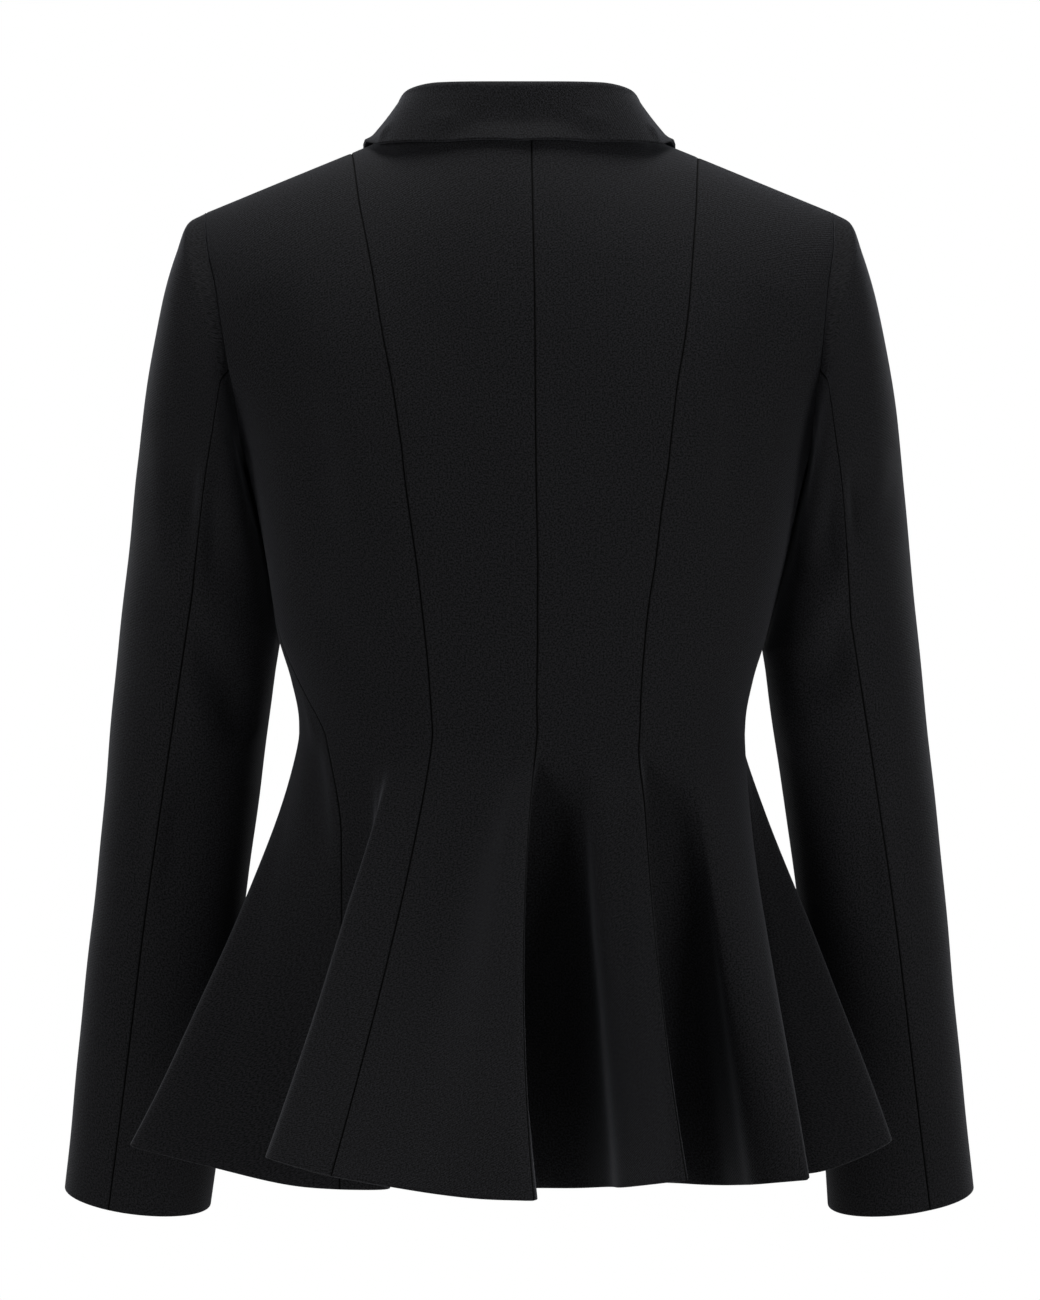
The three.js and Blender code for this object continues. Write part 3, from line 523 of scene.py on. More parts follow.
def fold_x(z):
    """How far out the lapel's fold line lies at a height, and below the break the front edge."""
    share = np.clip((z - BREAK_Z) / -BREAK_Z, 0, None)
    return mix(-OVERLAP, NECK_HALF, share)


def front_edge_table(side):
    """Angle of the front edge at each level, found by halving."""
    levels = np.linspace(-2, 1, 901)
    low = along(SEAMS, "level", "front", levels) + 1
    high = np.full_like(low, 205)
    for _ in range(40):
        middle = (low + high) / 2
        point = body(side * middle, levels)
        inside = side * point[:, 0] > fold_x(point[:, 2])
        low = np.where(inside, middle, low)
        high = np.where(inside, high, middle)
    return {"level": levels, "angle": side * low}


FRONT_EDGE = {1: front_edge_table(1), -1: front_edge_table(-1)}


def front_edge(side):
    return lambda level: np.interp(level, FRONT_EDGE[side]["level"], FRONT_EDGE[side]["angle"])


def seam(name, side=1):
    return lambda level: side * along(SEAMS, "level", name, level)


def side_line(name, hole, side):
    """The side seam below the underarm and the armhole's edge above it."""
    below = seam(name)
    return lambda level: np.where(level < 0, below(level), side * along(ARMHOLE, "level", hole, level))


def armhole_curve(side, name):
    """Places on the armhole's edge, in front or behind, from the underarm to the shoulder."""
    levels = np.linspace(0, 1, 801)
    return body(side * along(ARMHOLE, "level", name, levels), levels)


ARMHOLE_CURVES = {
    (side, name): armhole_curve(side, name) for side in (1, -1) for name in ("behind", "before")
}


def sleeve_ring(side, degrees, at):
    """Ring of a sleeve: an ellipse between its inner and outer point, tipped by the pitch. Its front inner
    side is tucked in round the trunk, and its back is flattened near the armhole."""
    angle = np.radians(degrees)
    inner_z = along(SLEEVE, "at", "inner_z", at)
    inner_x = along(SLEEVE, "at", "inner_x", at) - side * along(SLEEVE, "at", "lean", at)
    side_x = along(RINGS, "z", "half", inner_z) + side * along(RINGS, "z", "shift", inner_z)
    clear = side_x + BODY_CLEARANCE * smooth(at, 0, 0.05)
    beside = (inner_z > WAIST_Z) & (inner_z <= UNDERARM_Z + 1e-9)
    inner_x = np.where(beside, np.maximum(inner_x, clear), inner_x)
    half = along(SLEEVE, "at", "half_depth", at)
    pitch = np.radians(along(SLEEVE, "at", "pitch", at))
    across = 0.5 + 0.5 * np.cos(angle)
    tucked = 2 * np.clip(-np.sin(angle), 0, 1) * np.clip(-np.cos(angle), 0, 1)
    tucked = tucked * smooth(at, 0, 0.07) * (1 - smooth(at, 0.42, 0.62))
    x = mix(inner_x, along(SLEEVE, "at", "outer_x", at), across) - SLEEVE_TUCK * tucked
    z = mix(inner_z, along(SLEEVE, "at", "outer_z", at), across)
    flat = SLEEVE_FLAT * smooth(at, 0, 0.05) * (1 - smooth(at, 0.2, 0.55))
    behind = np.clip(np.sin(angle), 0, 1) ** (1 - flat)
    round_y = half * np.where(np.sin(angle) > 0, behind, np.sin(angle))
    y = along(SLEEVE, "at", "centre_y", at) + np.cos(pitch) * round_y
    return xyz(side * x, y, z - np.sin(pitch) * round_y)


def sleeve(side):
    """A sleeve starts on the armhole's edge and settles into plain rings by two fifths of its length."""
    def surface(degrees, at):
        degrees, at = np.broadcast_arrays(np.asarray(degrees, float), np.asarray(at, float))
        ring = sleeve_ring(side, degrees, at)
        start = sleeve_ring(side, degrees, np.zeros_like(at))
        edges = []
        for name in ("behind", "before"):
            curve = ARMHOLE_CURVES[side, name]
            edges.append(xyz(*(np.interp(start[..., 2], curve[:, 2], column) for column in curve.T)))
        behind = (np.sin(np.radians(degrees)) >= 0)[..., None]
        edge = np.where(behind, edges[0], edges[1]) + np.array([side * HEAD_GAP, 0, 0])
        fade = (1 - smooth(at, 0, 0.4)) ** 2
        return ring + (edge - start) * fade[..., None]
    return surface


def body_at(x, z, front):
    """The trunk's surface at a place given by how far out and how high it is, in front or behind, with
    its outward normal. Above the shoulder seam it is the seam itself."""
    x, z = np.broadcast_arrays(np.asarray(x, float), np.asarray(z, float))
    side = np.where(x < 0, -1.0, 1.0)
    in_neck = np.maximum(0, 1 - (x / NECK_HALF) ** 2)
    peak = 0 if front else NAPE_Z
    top_z = np.where(np.abs(x) < NECK_HALF, peak * in_neck, -(np.abs(x) - NECK_HALF) * SHOULDER_DROP)
    rise = np.clip((z - UNDERARM_Z) / (top_z - UNDERARM_Z), 0, 1)
    ring_z = np.minimum(z, UNDERARM_Z)
    below = (z - UNDERARM_Z) / (UNDERARM_Z - WAIST_Z)
    level = np.where(z < UNDERARM_Z, below, np.arcsin(rise) * 2 / np.pi)
    half = along(RINGS, "z", "half", ring_z)
    depth = along(RINGS, "z", "front" if front else "back", ring_z)
    shift = along(RINGS, "z", "shift", ring_z) * (1 - rise)
    across = np.abs(x - shift) / along(WIDENING, "rise", "factor", rise)
    deep = depth * np.maximum(0, 1 - (across / half) ** SECTION_POWER) ** (1 / SECTION_POWER)
    turn = np.degrees(np.arctan2(across, -deep if front else deep))
    degrees = side * turn * np.where(side * (x - shift) < 0, -1, 1)
    on_seam = (z >= top_z)[..., None]
    seam_point = xyz(x, SHOULDER_Y, top_z)
    seam_normal = unit(xyz(side * SHOULDER_DROP, 0, 1))
    point = np.where(on_seam, seam_point, body(degrees, level))
    normal = np.where(on_seam, seam_normal, normal_of(body, degrees, level, -2, 1))
    return point, normal


def lifted_off(points, lift):
    """Moves points out until they are at least this far from the trunk."""
    front = (points[..., 1] < SHOULDER_Y)[..., None]
    ahead = body_at(points[..., 0], points[..., 2], True)
    behind = body_at(points[..., 0], points[..., 2], False)
    base, normal = (np.where(front, a, b) for a, b in zip(ahead, behind))
    gap = ((points - base) * normal).sum(-1)
    return points + normal * np.maximum(0, lift - gap)[..., None]


def on_front(side, x, z, lift):
    """A place on the front, lifted off it, and off its ramp on the right side."""
    point, normal = body_at(side * x, z, True)
    degrees = np.degrees(np.arctan2(point[..., 0], point[..., 1]))
    turned = np.where(degrees < 0, degrees, degrees - 360)
    ramp = front_ramp(turned, 0.0) if side < 0 else 0
    return point + normal * (lift + ramp + 0 * x)[..., None]


def gorge_z(x):
    """Height of the gorge line at a place across the chest."""
    start = fold_x(GORGE_FOLD_Z)
    return mix(GORGE_FOLD_Z, GORGE_OUT_Z, np.clip((x - start) / (GORGE_OUT_X - start), 0, 1))


def softened(rows, rounds=3):
    """Cuts the corners of each row of points, round after round, and keeps its ends."""
    for _ in range(rounds):
        first, last = rows[:, :1], rows[:, -1:]
        near = mix(rows[:, :-1], rows[:, 1:], 0.25)
        far = mix(rows[:, :-1], rows[:, 1:], 0.75)
        cut = np.stack([near, far], 2).reshape(len(rows), -1, rows.shape[-1])
        rows = np.concatenate([first, cut, last], 1)
    return rows


def lapel_rows(side, share):
    """A lapel, row by row from the break to the gorge: it turns round the front edge in a small roll and
    lies on the front out to its own edge."""
    lowest = BREAK_Z if side < 0 else UNDER_LAPEL_Z
    lowest_edge = BREAK_Z if side < 0 else UNDER_LAPEL_EDGE_Z
    z = mix(lowest, GORGE_FOLD_Z, share)
    edge_z = mix(lowest_edge, LAPEL["z"][-1], share)
    fold = fold_x(z)
    edge_x = along(LAPEL, "z", "edge", edge_z)
    row = [on_front(side, fold + out, z, lift) for out, lift in LAPEL_ROLL]
    first_x = fold + LAPEL_ROLL[-1][0]
    for across in np.linspace(0, 1, 9)[1:]:
        x = mix(first_x, np.maximum(edge_x, first_x + 0.004), across)
        row.append(on_front(side, x, np.minimum(mix(z, edge_z, across), gorge_z(x)), LAPEL_LIFT))
    return softened(np.stack(row, 1))


def collar_end(side):
    """The collar's last row follows the lapel's top edge to the notch, then runs up to its own point."""
    fold = fold_x(GORGE_FOLD_Z)
    places = [(fold + out, GORGE_FOLD_Z, lift) for out, lift in COLLAR_END_ROLL]
    places += [(x, float(gorge_z(x)), LAPEL_LIFT) for x in np.linspace(fold + 0.004, GORGE_OUT_X, 4)]
    for share in (0.5, 1):
        x = mix(GORGE_OUT_X, COLLAR_POINT_X, share)
        places.append((x, mix(GORGE_OUT_Z, COLLAR_POINT_Z, share), LAPEL_LIFT))
    x, z, lift = np.array(places).T
    return on_front(side, x, z, lift)


def collar_rows(side, at):
    """The collar, row by row from the centre back to the gorge: it stands up from the neck, rolls over at
    the top and falls outside, and towards the gorge it turns into the row along the lapel."""
    def vector(name):
        x, y, z = (along(COLLAR, "at", f"{name}_{axis}", at) for axis in "xyz")
        return xyz(side * x, y, z)
    stand, fold, edge = vector("seam"), vector("fold"), vector("edge")
    frontness = smooth(at, 0.7, 1)[:, None]
    normal = body_at(stand[:, 0], stand[:, 2], True)[1]
    up = unit(mix(np.array([0.0, 0.0, 1.0]), normal, frontness))
    out = edge - fold
    out = unit(out - up * (out * up).sum(-1, keepdims=True))
    def place(o, u):
        return fold + out * o * COLLAR_ROLL + up * u * COLLAR_ROLL
    row = [stand, mix(stand, place(-1, -1), 0.6)]
    row += [place(-1, -1), place(-0.75, -0.25), place(0, 0), place(0.8, -0.25)]
    lift = mix(COLLAR_LIFT, LAPEL_LIFT, smooth(at, 0.68, 1))
    for share in np.linspace(0, 1, 6):
        row.append(lifted_off(mix(place(1, -1), edge, share), lift))
    turn = smooth(at, 0.84, 1)[:, None, None]
    return softened(mix(np.stack(row, 1), collar_end(side)[None], turn))


# Cloth piece by piece: sides that are sewn end in a slit, sides that are free end in a round edge
EDGE_STEPS = np.array([0, 0.00012, 0.0003, 0.0006, 0.001, 0.0017])


def edged(place, lines, even):
    """Shares of the way across, one row of them for each line: fine steps of real size at both ends, found
    from the distance travelled along the line, and the even shares squeezed between them."""
    fine = 0.5 - 0.5 * np.cos(np.linspace(0, np.pi, 401))
    apart = np.linalg.norm(np.diff(place(fine[None, :], lines[:, None]), axis=1), axis=2)
    result = []
    for steps in apart:
        travelled = np.concatenate([[0], np.cumsum(steps)])
        ends = np.concatenate([EDGE_STEPS, travelled[-1] - EDGE_STEPS[::-1]])
        first, last = np.split(np.interp(ends, travelled, fine), 2)
        result.append(np.concatenate([first, mix(first[-1], last[0], even[1:-1]), last]))
    return np.array(result)


def even_shares(place, lines, step):
    """Shares of the way across, so close that no two are further apart than the step on any line."""
    fine = np.linspace(0, 1, 801)
    points = place(fine[None, :], lines[:, None])
    apart = np.linalg.norm(np.diff(points, axis=1), axis=2).max(axis=0)
    travelled = np.concatenate([[0], np.cumsum(apart)])
    count = int(np.ceil(travelled[-1] / step))
    return np.interp(np.linspace(0, travelled[-1], count + 1), travelled, fine)


def piece_grid(surface, start, stop, low, high, rows, step):
    """Grid of one piece of cloth. Its columns are shares of the way from the start line to the stop line,
    and its rows run from low to high."""
    def place(share, value):
        share, value = np.broadcast_arrays(share, value)
        return surface(mix(start(value), stop(value), share), value)

    def upwards(height, share):
        return place(share, mix(low, high, height))

    even_v = np.linspace(0, 1, rows + 1)
    even_u = even_shares(place, mix(low, high, even_v[::6]), step)
    columns = edged(place, np.array([low]), even_u)[0]
    level = mix(low, high, edged(upwards, columns, even_v).T)
    share = edged(place, level[:, level.shape[1] // 2], even_u)
    return surface(mix(start(level), stop(level), share), level)


def grid_normals(points):
    """Normals of a grid from its neighbouring points: the way along the rows crossed with the columns'."""
    by_row = np.gradient(points, axis=0)
    by_column = np.gradient(points, axis=1)
    return unit(np.cross(by_row, by_column))


def side_distances(points):
    """Distance of each point from the four sides of its grid, measured along the rows and columns."""
    across = np.linalg.norm(np.diff(points, axis=1), axis=2)
    up = np.linalg.norm(np.diff(points, axis=0), axis=2)
    from_start = np.concatenate([np.zeros((len(points), 1)), np.cumsum(across, axis=1)], axis=1)
    from_low = np.concatenate([np.zeros((1, points.shape[1])), np.cumsum(up, axis=0)], axis=0)
    return [from_start, from_start[:, -1:] - from_start, from_low, from_low[-1:] - from_low]


def sunk(distance, depth, width):
    """Quarter of an ellipse: the full depth at the side, nothing beyond the width."""
    t = np.clip(1 - distance / width, 0, 1)
    return depth * (1 - np.sqrt(1 - t**2 * 0.996))


def crease_height(points, creases):
    """Height of the listed creases at each point. A crease is a soft ridge (or a trough, with a
    negative height) along a line on the surface: a bell across the line, fading out at both of its ends."""
    total = np.zeros(points.shape[:-1])
    for line, width, height in creases:
        best = np.full(total.shape, 1e9)
        place = np.zeros(total.shape)
        span = len(line) - 1
        for i, (a, b) in enumerate(zip(line[:-1], line[1:])):
            t = np.clip(((points - a) @ (b - a)) / ((b - a) @ (b - a)), 0, 1)
            far = np.linalg.norm(points - a - t[..., None] * (b - a), axis=-1)
            nearer = far < best
            best = np.where(nearer, far, best)
            place = np.where(nearer, (i + t) / span, place)
        fade = np.sin(np.pi * np.clip(place, 0, 1)) ** 0.8
        total += height * fade * np.exp(-((best / width) ** 2))
    return total


def unevenness(points):
    """Slow swell of the cloth: a few waves of uneven length and direction, added up."""
    total = np.zeros(points.shape[:-1])
    for length, x, y, z, turn, height in UNEVEN:
        total += height * np.sin((points @ np.array([x, y, z])) * 2 * np.pi / length + turn)
    return total


def shell_mesh(name, outer, inner, uv, shade, flip):
    """A closed shell from two grids of the same size: both faces and the rim between them. The UV map
    holds the distance along the cloth in metres, so the weave lies on it as it was cut. The painted
    shade is 1 where the outer face goes down into a seam, and the material darkens the colour there."""
    rows, columns = outer.shape[:2]
    count = rows * columns
    index = np.arange(count).reshape(rows, columns)
    a, b, c, d = index[:-1, :-1], index[1:, :-1], index[1:, 1:], index[:-1, 1:]
    face = np.stack([a, b, c, d], -1).reshape(-1, 4)
    back = np.stack([a, d, c, b], -1).reshape(-1, 4) + count
    border = np.concatenate([index[0, :-1], index[:-1, -1], index[-1, :0:-1], index[:0:-1, 0]])
    ahead = np.roll(border, -1)
    rim = np.stack([border, ahead, ahead + count, border + count], -1)
    quads = np.concatenate([face, back, rim])
    if flip:
        quads = quads[:, ::-1]
    places = np.concatenate([outer.reshape(-1, 3), inner.reshape(-1, 3)])
    mesh = bpy.data.meshes.new(name)
    mesh.vertices.add(len(places))
    mesh.vertices.foreach_set("co", places.astype(np.float32).ravel())
    mesh.loops.add(quads.size)
    mesh.loops.foreach_set("vertex_index", quads.astype(np.int32).ravel())
    mesh.polygons.add(len(quads))
    mesh.polygons.foreach_set("loop_start", np.arange(0, quads.size, 4, dtype=np.int32))
    mesh.update(calc_edges=True)
    layer = mesh.uv_layers.new(name="cloth")
    both = np.concatenate([uv.reshape(-1, 2), uv.reshape(-1, 2)])
    layer.data.foreach_set("uv", both[quads.ravel()].astype(np.float32).ravel())
    # The attribute named seam carries the painted shade of the seams to the wool material
    painted_shade_layer = mesh.attributes.new("seam", "FLOAT", "POINT")
    dark = np.concatenate([shade.ravel(), np.zeros(count)])
    painted_shade_layer.data.foreach_set("value", dark.astype(np.float32))
    mesh.polygons.foreach_set("use_smooth", np.ones(len(quads), bool))
    mesh.set_sharp_from_angle(angle=math.radians(60))
    mesh.validate()
    return mesh


def cloth_piece(node, points, flip, sides, creases=(), swell=1.0, steady=0):
    """Makes the piece of cloth that stands for a node, from the grid of its outer face. The sides say, for
    start, stop, low and high, whether each is sewn or free. The creases and the swell move both faces, the
    sinking at a seam only the outer one, and a free edge is rounded on both. The first rows, up to the
    steady one, face the way that one does, which keeps the shell whole where they turn sharply."""
    name = f"cloth_{node}"
    sizes = bpy.context.scene.blazer_sizes
    thick = sizes.cloth_thickness
    normals = grid_normals(points) * (-1 if flip else 1)
    distances = side_distances(points)
    sewn = [smooth(distance, 0, CREASE_CLEAR) for distance, kind in zip(distances, sides) if kind == "sewn"]
    clear = np.min(sewn or [1.0], axis=0)
    moved = (crease_height(points, creases) + unevenness(points) * swell) * clear * sizes.crease_strength
    points = points + normals * moved[..., None]
    normals = grid_normals(points) * (-1 if flip else 1)
    normals[:steady] = normals[steady]
    drop = np.zeros(points.shape[:2])
    lift = np.zeros(points.shape[:2])
    shade = np.zeros(points.shape[:2])
    for distance, kind in zip(distances, sides):
        if kind == "sewn":
            # Painted shade: the mask dark is 1 down in a seam's slit, and the material darkens the colour
            # there
            dark = smooth(distance, sizes.seam_width * PAINTED_SHADE_OUTER, sizes.seam_width * PAINTED_SHADE_INNER)
            shade = np.maximum(shade, dark)
            ease = sizes.seam_ease * np.exp(-((distance / EASE_WIDTH) ** 2))
            drop = np.maximum(drop, sunk(distance, sizes.seam_depth, sizes.seam_width) + ease)
        else:
            drop = np.maximum(drop, sunk(distance, thick / 2, thick / 2))
            lift = np.maximum(lift, sunk(distance, thick / 2, thick / 2))
    outer = points - normals * drop[..., None]
    inner = points - normals * (thick - lift)[..., None]
    uv = np.stack([
        distances[0] - distances[0][:, points.shape[1] // 2][:, None],
        distances[2] - distances[2][len(points) // 2][None, :],
    ], -1)
    piece = bpy.data.objects.new(name, shell_mesh(name, outer, inner, uv, shade, flip))
    bpy.context.scene.collection.objects.link(piece)
    piece.data.materials.append(wool_twill())
    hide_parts(node)
    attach(piece, "root")


# Materials
def linear(code):
    """An sRGB hex colour as linear red, green, blue and alpha."""
    parts = [int(code[i:i + 2], 16) / 255 for i in (1, 3, 5)]
    return tuple(p / 12.92 if p <= 0.04045 else ((p + 0.055) / 1.055) ** 2.4 for p in parts) + (1.0,)


def add_node(tree, kind, settings=(), inputs=()):
    """Adds a node of a kind to a tree, with its settings by name, and its inputs by name or number, each a
    value or another node's output."""
    made = tree.nodes.new(kind)
    for name, value in dict(settings).items():
        setattr(made, name, value)
    for name, value in dict(inputs).items():
        if isinstance(value, bpy.types.NodeSocket):
            tree.links.new(value, made.inputs[name])
        else:
            made.inputs[name].default_value = value
    return made


def new_material(name):
    """An empty node material with its output."""
    made = bpy.data.materials.new(name)
    made.use_nodes = True
    made.node_tree.nodes.clear()
    return made, made.node_tree, add_node(made.node_tree, "ShaderNodeOutputMaterial")


def surfaced(material, tree, output, relief, inputs):
    """Joins a bump, given as its height, strength and distance, and a principled shader with these inputs
    to the output."""
    height, strength, distance = relief
    bump = add_node(tree, "ShaderNodeBump", (), {
        "Height": height,
        "Strength": strength,
        "Distance": distance,
    })
    inputs = {**inputs, "Normal": bump.outputs["Normal"]}
    shader = add_node(tree, "ShaderNodeBsdfPrincipled", (), inputs)
    tree.links.new(shader.outputs["BSDF"], output.inputs["Surface"])
    return material


def wool_twill():
    """Fine worsted wool, dyed black and woven as twill, with a short nap. The eye gets a matt near-black
    with a hint of blue, faint diagonal lines, a fibrous grain, and a paler bloom where it is seen edge on.
    Down in the seams it gets a painted shade."""
    if "black wool twill" in bpy.data.materials:
        return bpy.data.materials["black wool twill"]
    sizes = bpy.context.scene.blazer_sizes
    colours = bpy.context.scene.blazer_colours
    material, tree, output = new_material("black wool twill")
    place = add_node(tree, "ShaderNodeUVMap", {"uv_map": "cloth"}).outputs["UV"]
    leaning = add_node(tree, "ShaderNodeMapping", (), {
        "Vector": place,
        "Rotation": (0, 0, math.radians(-17)),
    })
    # The wave repeats every 0.628 over its scale, measured across both axes at once
    twill = add_node(tree, "ShaderNodeTexWave", {"wave_type": "BANDS", "bands_direction": "DIAGONAL"}, {
        "Vector": leaning.outputs["Vector"],
        "Scale": 0.628 / (sizes.twill_pitch * math.sqrt(2)),
        "Distortion": 1.6,
        "Detail": 2.0,
        "Detail Scale": 1.4,
    })
    fibre = add_node(tree, "ShaderNodeTexNoise", {"noise_dimensions": "2D"}, {
        "Vector": place,
        "Scale": 1 / sizes.fibre_grain,
        "Detail": 3.0,
        "Roughness": 0.65,
    })
    height = add_node(tree, "ShaderNodeMix", {"data_type": "FLOAT"}, {
        0: 0.68,
        2: twill.outputs["Fac"],
        3: fibre.outputs["Fac"],
    })
    colour = add_node(tree, "ShaderNodeValToRGB", (), {"Fac": fibre.outputs["Fac"]})
    stops = colour.color_ramp.elements
    stops[0].position, stops[0].color = 0.36, colours.wool_dark
    stops[1].position, stops[1].color = 0.64, colours.wool_light
    # Painted shade: down in a seam hardly any light reaches the nap, so the seam mask mixes the colour
    # towards near-black and takes the sheen away
    seam = add_node(tree, "ShaderNodeAttribute", {"attribute_name": "seam"}).outputs["Fac"]
    painted_seam_colour = add_node(tree, "ShaderNodeMix", {"data_type": "RGBA"}, {
        0: seam,
        6: colour.outputs["Color"],
        7: linear("#010101"),
    })
    sheen = add_node(tree, "ShaderNodeMapRange", (), {"Value": seam, "To Min": 0.35, "To Max": 0.0})
    return surfaced(material, tree, output, (height.outputs[0], 0.9, 0.00035), {
        "Base Color": painted_seam_colour.outputs[2],
        "Roughness": 0.85,
        "Diffuse Roughness": 1.0,
        "IOR": 1.55,
        "Specular IOR Level": 0.3,
        "Sheen Weight": sheen.outputs["Result"],
        "Sheen Roughness": 0.42,
        "Sheen Tint": linear("#c9ccd6"),
    })


def polished_horn():
    """Dark buffalo horn, turned and polished. The eye gets a near-black with faint brown clouds and a soft
    gloss that is broken by fine turning marks."""
    colours = bpy.context.scene.blazer_colours
    material, tree, output = new_material("polished dark horn")
    place = add_node(tree, "ShaderNodeTexCoord").outputs["Object"]
    cloud = add_node(tree, "ShaderNodeTexNoise", (), {
        "Vector": place,
        "Scale": 260.0,
        "Detail": 3.0,
        "Distortion": 0.8,
    })
    colour = add_node(tree, "ShaderNodeValToRGB", (), {"Fac": cloud.outputs["Fac"]})
    stops = colour.color_ramp.elements
    stops[0].position, stops[0].color = 0.35, colours.horn
    stops[1].position, stops[1].color = 0.8, linear("#2b2320")
    marks = add_node(tree, "ShaderNodeTexNoise", (), {"Vector": place, "Scale": 2500.0})
    return surfaced(material, tree, output, (marks.outputs["Fac"], 0.15, 0.0001), {
        "Base Color": colour.outputs["Color"],
        "Roughness": 0.28,
        "IOR": 1.54,
    })


def studio_paper():
    """Seamless studio paper: matt, pale and all but even, so the eye rests on the garment."""
    colours = bpy.context.scene.blazer_colours
    material, tree, output = new_material("pale studio paper")
    place = add_node(tree, "ShaderNodeTexCoord").outputs["Object"]
    grain = add_node(tree, "ShaderNodeTexNoise", (), {"Vector": place, "Scale": 300.0, "Detail": 2.0})
    return surfaced(material, tree, output, (grain.outputs["Fac"], 0.05, 0.0005), {
        "Base Color": colours.paper,
        "Roughness": 0.9,
    })


def twisted_thread():
    """Waxed black silk thread: the eye gets a fine twist and a little more gloss than the wool."""
    material, tree, output = new_material("black buttonhole thread")
    place = add_node(tree, "ShaderNodeTexCoord").outputs["Object"]
    twist = add_node(tree, "ShaderNodeTexWave", {"bands_direction": "DIAGONAL"}, {
        "Vector": place,
        "Scale": 900.0,
    })
    return surfaced(material, tree, output, (twist.outputs["Fac"], 0.6, 0.0001), {
        "Base Color": bpy.context.scene.blazer_colours.horn,
        "Roughness": 0.5,
    })


class BlazerSizes(bpy.types.PropertyGroup):
    cloth_thickness: bpy.props.FloatProperty(
        name="Cloth thickness", description="Thickness of the cloth and what backs it",
        default=0.002, min=0.0005, max=0.004, unit="LENGTH", precision=4)
    panel_step: bpy.props.FloatProperty(
        name="Panel step", description="Widest distance between two columns of a trunk panel's mesh",
        default=0.0034, min=0.001, max=0.01, unit="LENGTH", precision=4)
    row_step: bpy.props.FloatProperty(
        name="Row step", description="Distance between two rows of the mesh",
        default=0.004, min=0.001, max=0.01, unit="LENGTH", precision=4)
    seam_depth: bpy.props.FloatProperty(
        name="Seam depth", description="How deep the cloth turns in at a seam",
        default=0.0014, min=0.0, max=0.0018, unit="LENGTH", precision=4)
    seam_width: bpy.props.FloatProperty(
        name="Seam width", description="Width of the turned-in cloth beside a seam",
        default=0.0012, min=0.0002, max=0.003, unit="LENGTH", precision=4)
    seam_ease: bpy.props.FloatProperty(
        name="Seam ease", description="Shallow sinking of the cloth a little further from a seam",
        default=0.00012, min=0.0, max=0.001, unit="LENGTH", precision=5)
    crease_strength: bpy.props.FloatProperty(
        name="Creases", description="Share of the creases' and the swell's height",
        default=1.0, min=0.0, max=2.0, subtype="FACTOR")
    twill_pitch: bpy.props.FloatProperty(
        name="Twill pitch",
        description="Distance between two twill lines. The real cloth has about 0.7 mm, too fine to show",
        default=0.0015, min=0.0005, max=0.005, unit="LENGTH", precision=4)
    fibre_grain: bpy.props.FloatProperty(
        name="Fibre grain", description="Size of the fibrous mottling, also drawn about twice as coarse",
        default=0.0011, min=0.0002, max=0.01, unit="LENGTH", precision=4)


class BlazerColours(bpy.types.PropertyGroup):
    wool_dark: bpy.props.FloatVectorProperty(
        name="Wool, dark fibres", description="Colour in the hollows of the weave",
        default=linear("#070708"), size=4, subtype="COLOR", min=0, max=1)
    wool_light: bpy.props.FloatVectorProperty(
        name="Wool, light fibres", description="Colour on the crowns of the weave",
        default=linear("#3a3a3f"), size=4, subtype="COLOR", min=0, max=1)
    horn: bpy.props.FloatVectorProperty(
        name="Horn", description="Colour of the button",
        default=linear("#141416"), size=4, subtype="COLOR", min=0, max=1)
    paper: bpy.props.FloatVectorProperty(
        name="Studio paper", description="Colour of the floor",
        default=linear("#f2f2f0"), size=4, subtype="COLOR", min=0, max=1)
    key_power: bpy.props.FloatProperty(
        name="Key light", description="Power of the large soft light behind the garment, on its left",
        default=24.0, min=0, max=2000, unit="POWER")
    high_power: bpy.props.FloatProperty(
        name="High light", description="Power of the soft light above the garment",
        default=12.0, min=0, max=2000, unit="POWER")
    fill_power: bpy.props.FloatProperty(
        name="Fill light", description="Power of the soft light on the other side",
        default=4.6, min=0, max=2000, unit="POWER")
    edge_power: bpy.props.FloatProperty(
        name="Edge lights", description="Power of the two soft lights that graze the garment's outline",
        default=16.0, min=0, max=2000, unit="POWER")
    room_light: bpy.props.FloatProperty(
        name="Room light", description="Strength of the white light from the wall before the garment's front",
        default=0.06, min=0, max=5)
    room_dark: bpy.props.FloatProperty(
        name="Room light at the camera", description="Strength of the room's light from the camera's side",
        default=0.01, min=0, max=5)


def panel_list():
    """The trunk's eight panels: name, start and stop line, the kinds of their sides, and the surface."""
    left_side = [side_line("side_left", hole, 1) for hole in ("behind", "before")]
    right_side = [side_line("side_right", hole, -1) for hole in ("behind", "before")]
    sewn = ("sewn", "sewn", "free", "sewn")
    return [
        ("back_left", seam("centre"), seam("back_left"), sewn, body),
        ("side_back_left", seam("back_left"), left_side[0], sewn, body),
        ("side_front_left", left_side[1], seam("front"), sewn, body),
        ("front_left", seam("front"), front_edge(1), ("sewn", "free", "free", "sewn"), body),
        ("back_right", seam("back_right"), seam("centre"), sewn, body),
        ("side_back_right", right_side[0], seam("back_right"), sewn, body),
        ("side_front_right", seam("front", -1), right_side[1], sewn, body),
        ("front_right", front_edge(-1), seam("front", -1), ("free", "sewn", "free", "sewn"), right_front),
    ]


def crease_lines(surface, rows):
    """Creases of a table as lines of points on a surface, each with its width and height. A row holds the
    two ends as angle and level, a sideways bow in degrees, and the width and height in metres."""
    lines = []
    for start_angle, start_level, end_angle, end_level, bow, width, height in rows:
        t = np.linspace(0, 1, 13)
        degrees = mix(start_angle, end_angle, t) + bow * 4 * t * (1 - t)
        lines.append((surface(degrees, mix(start_level, end_level, t)), width, height))
    return lines


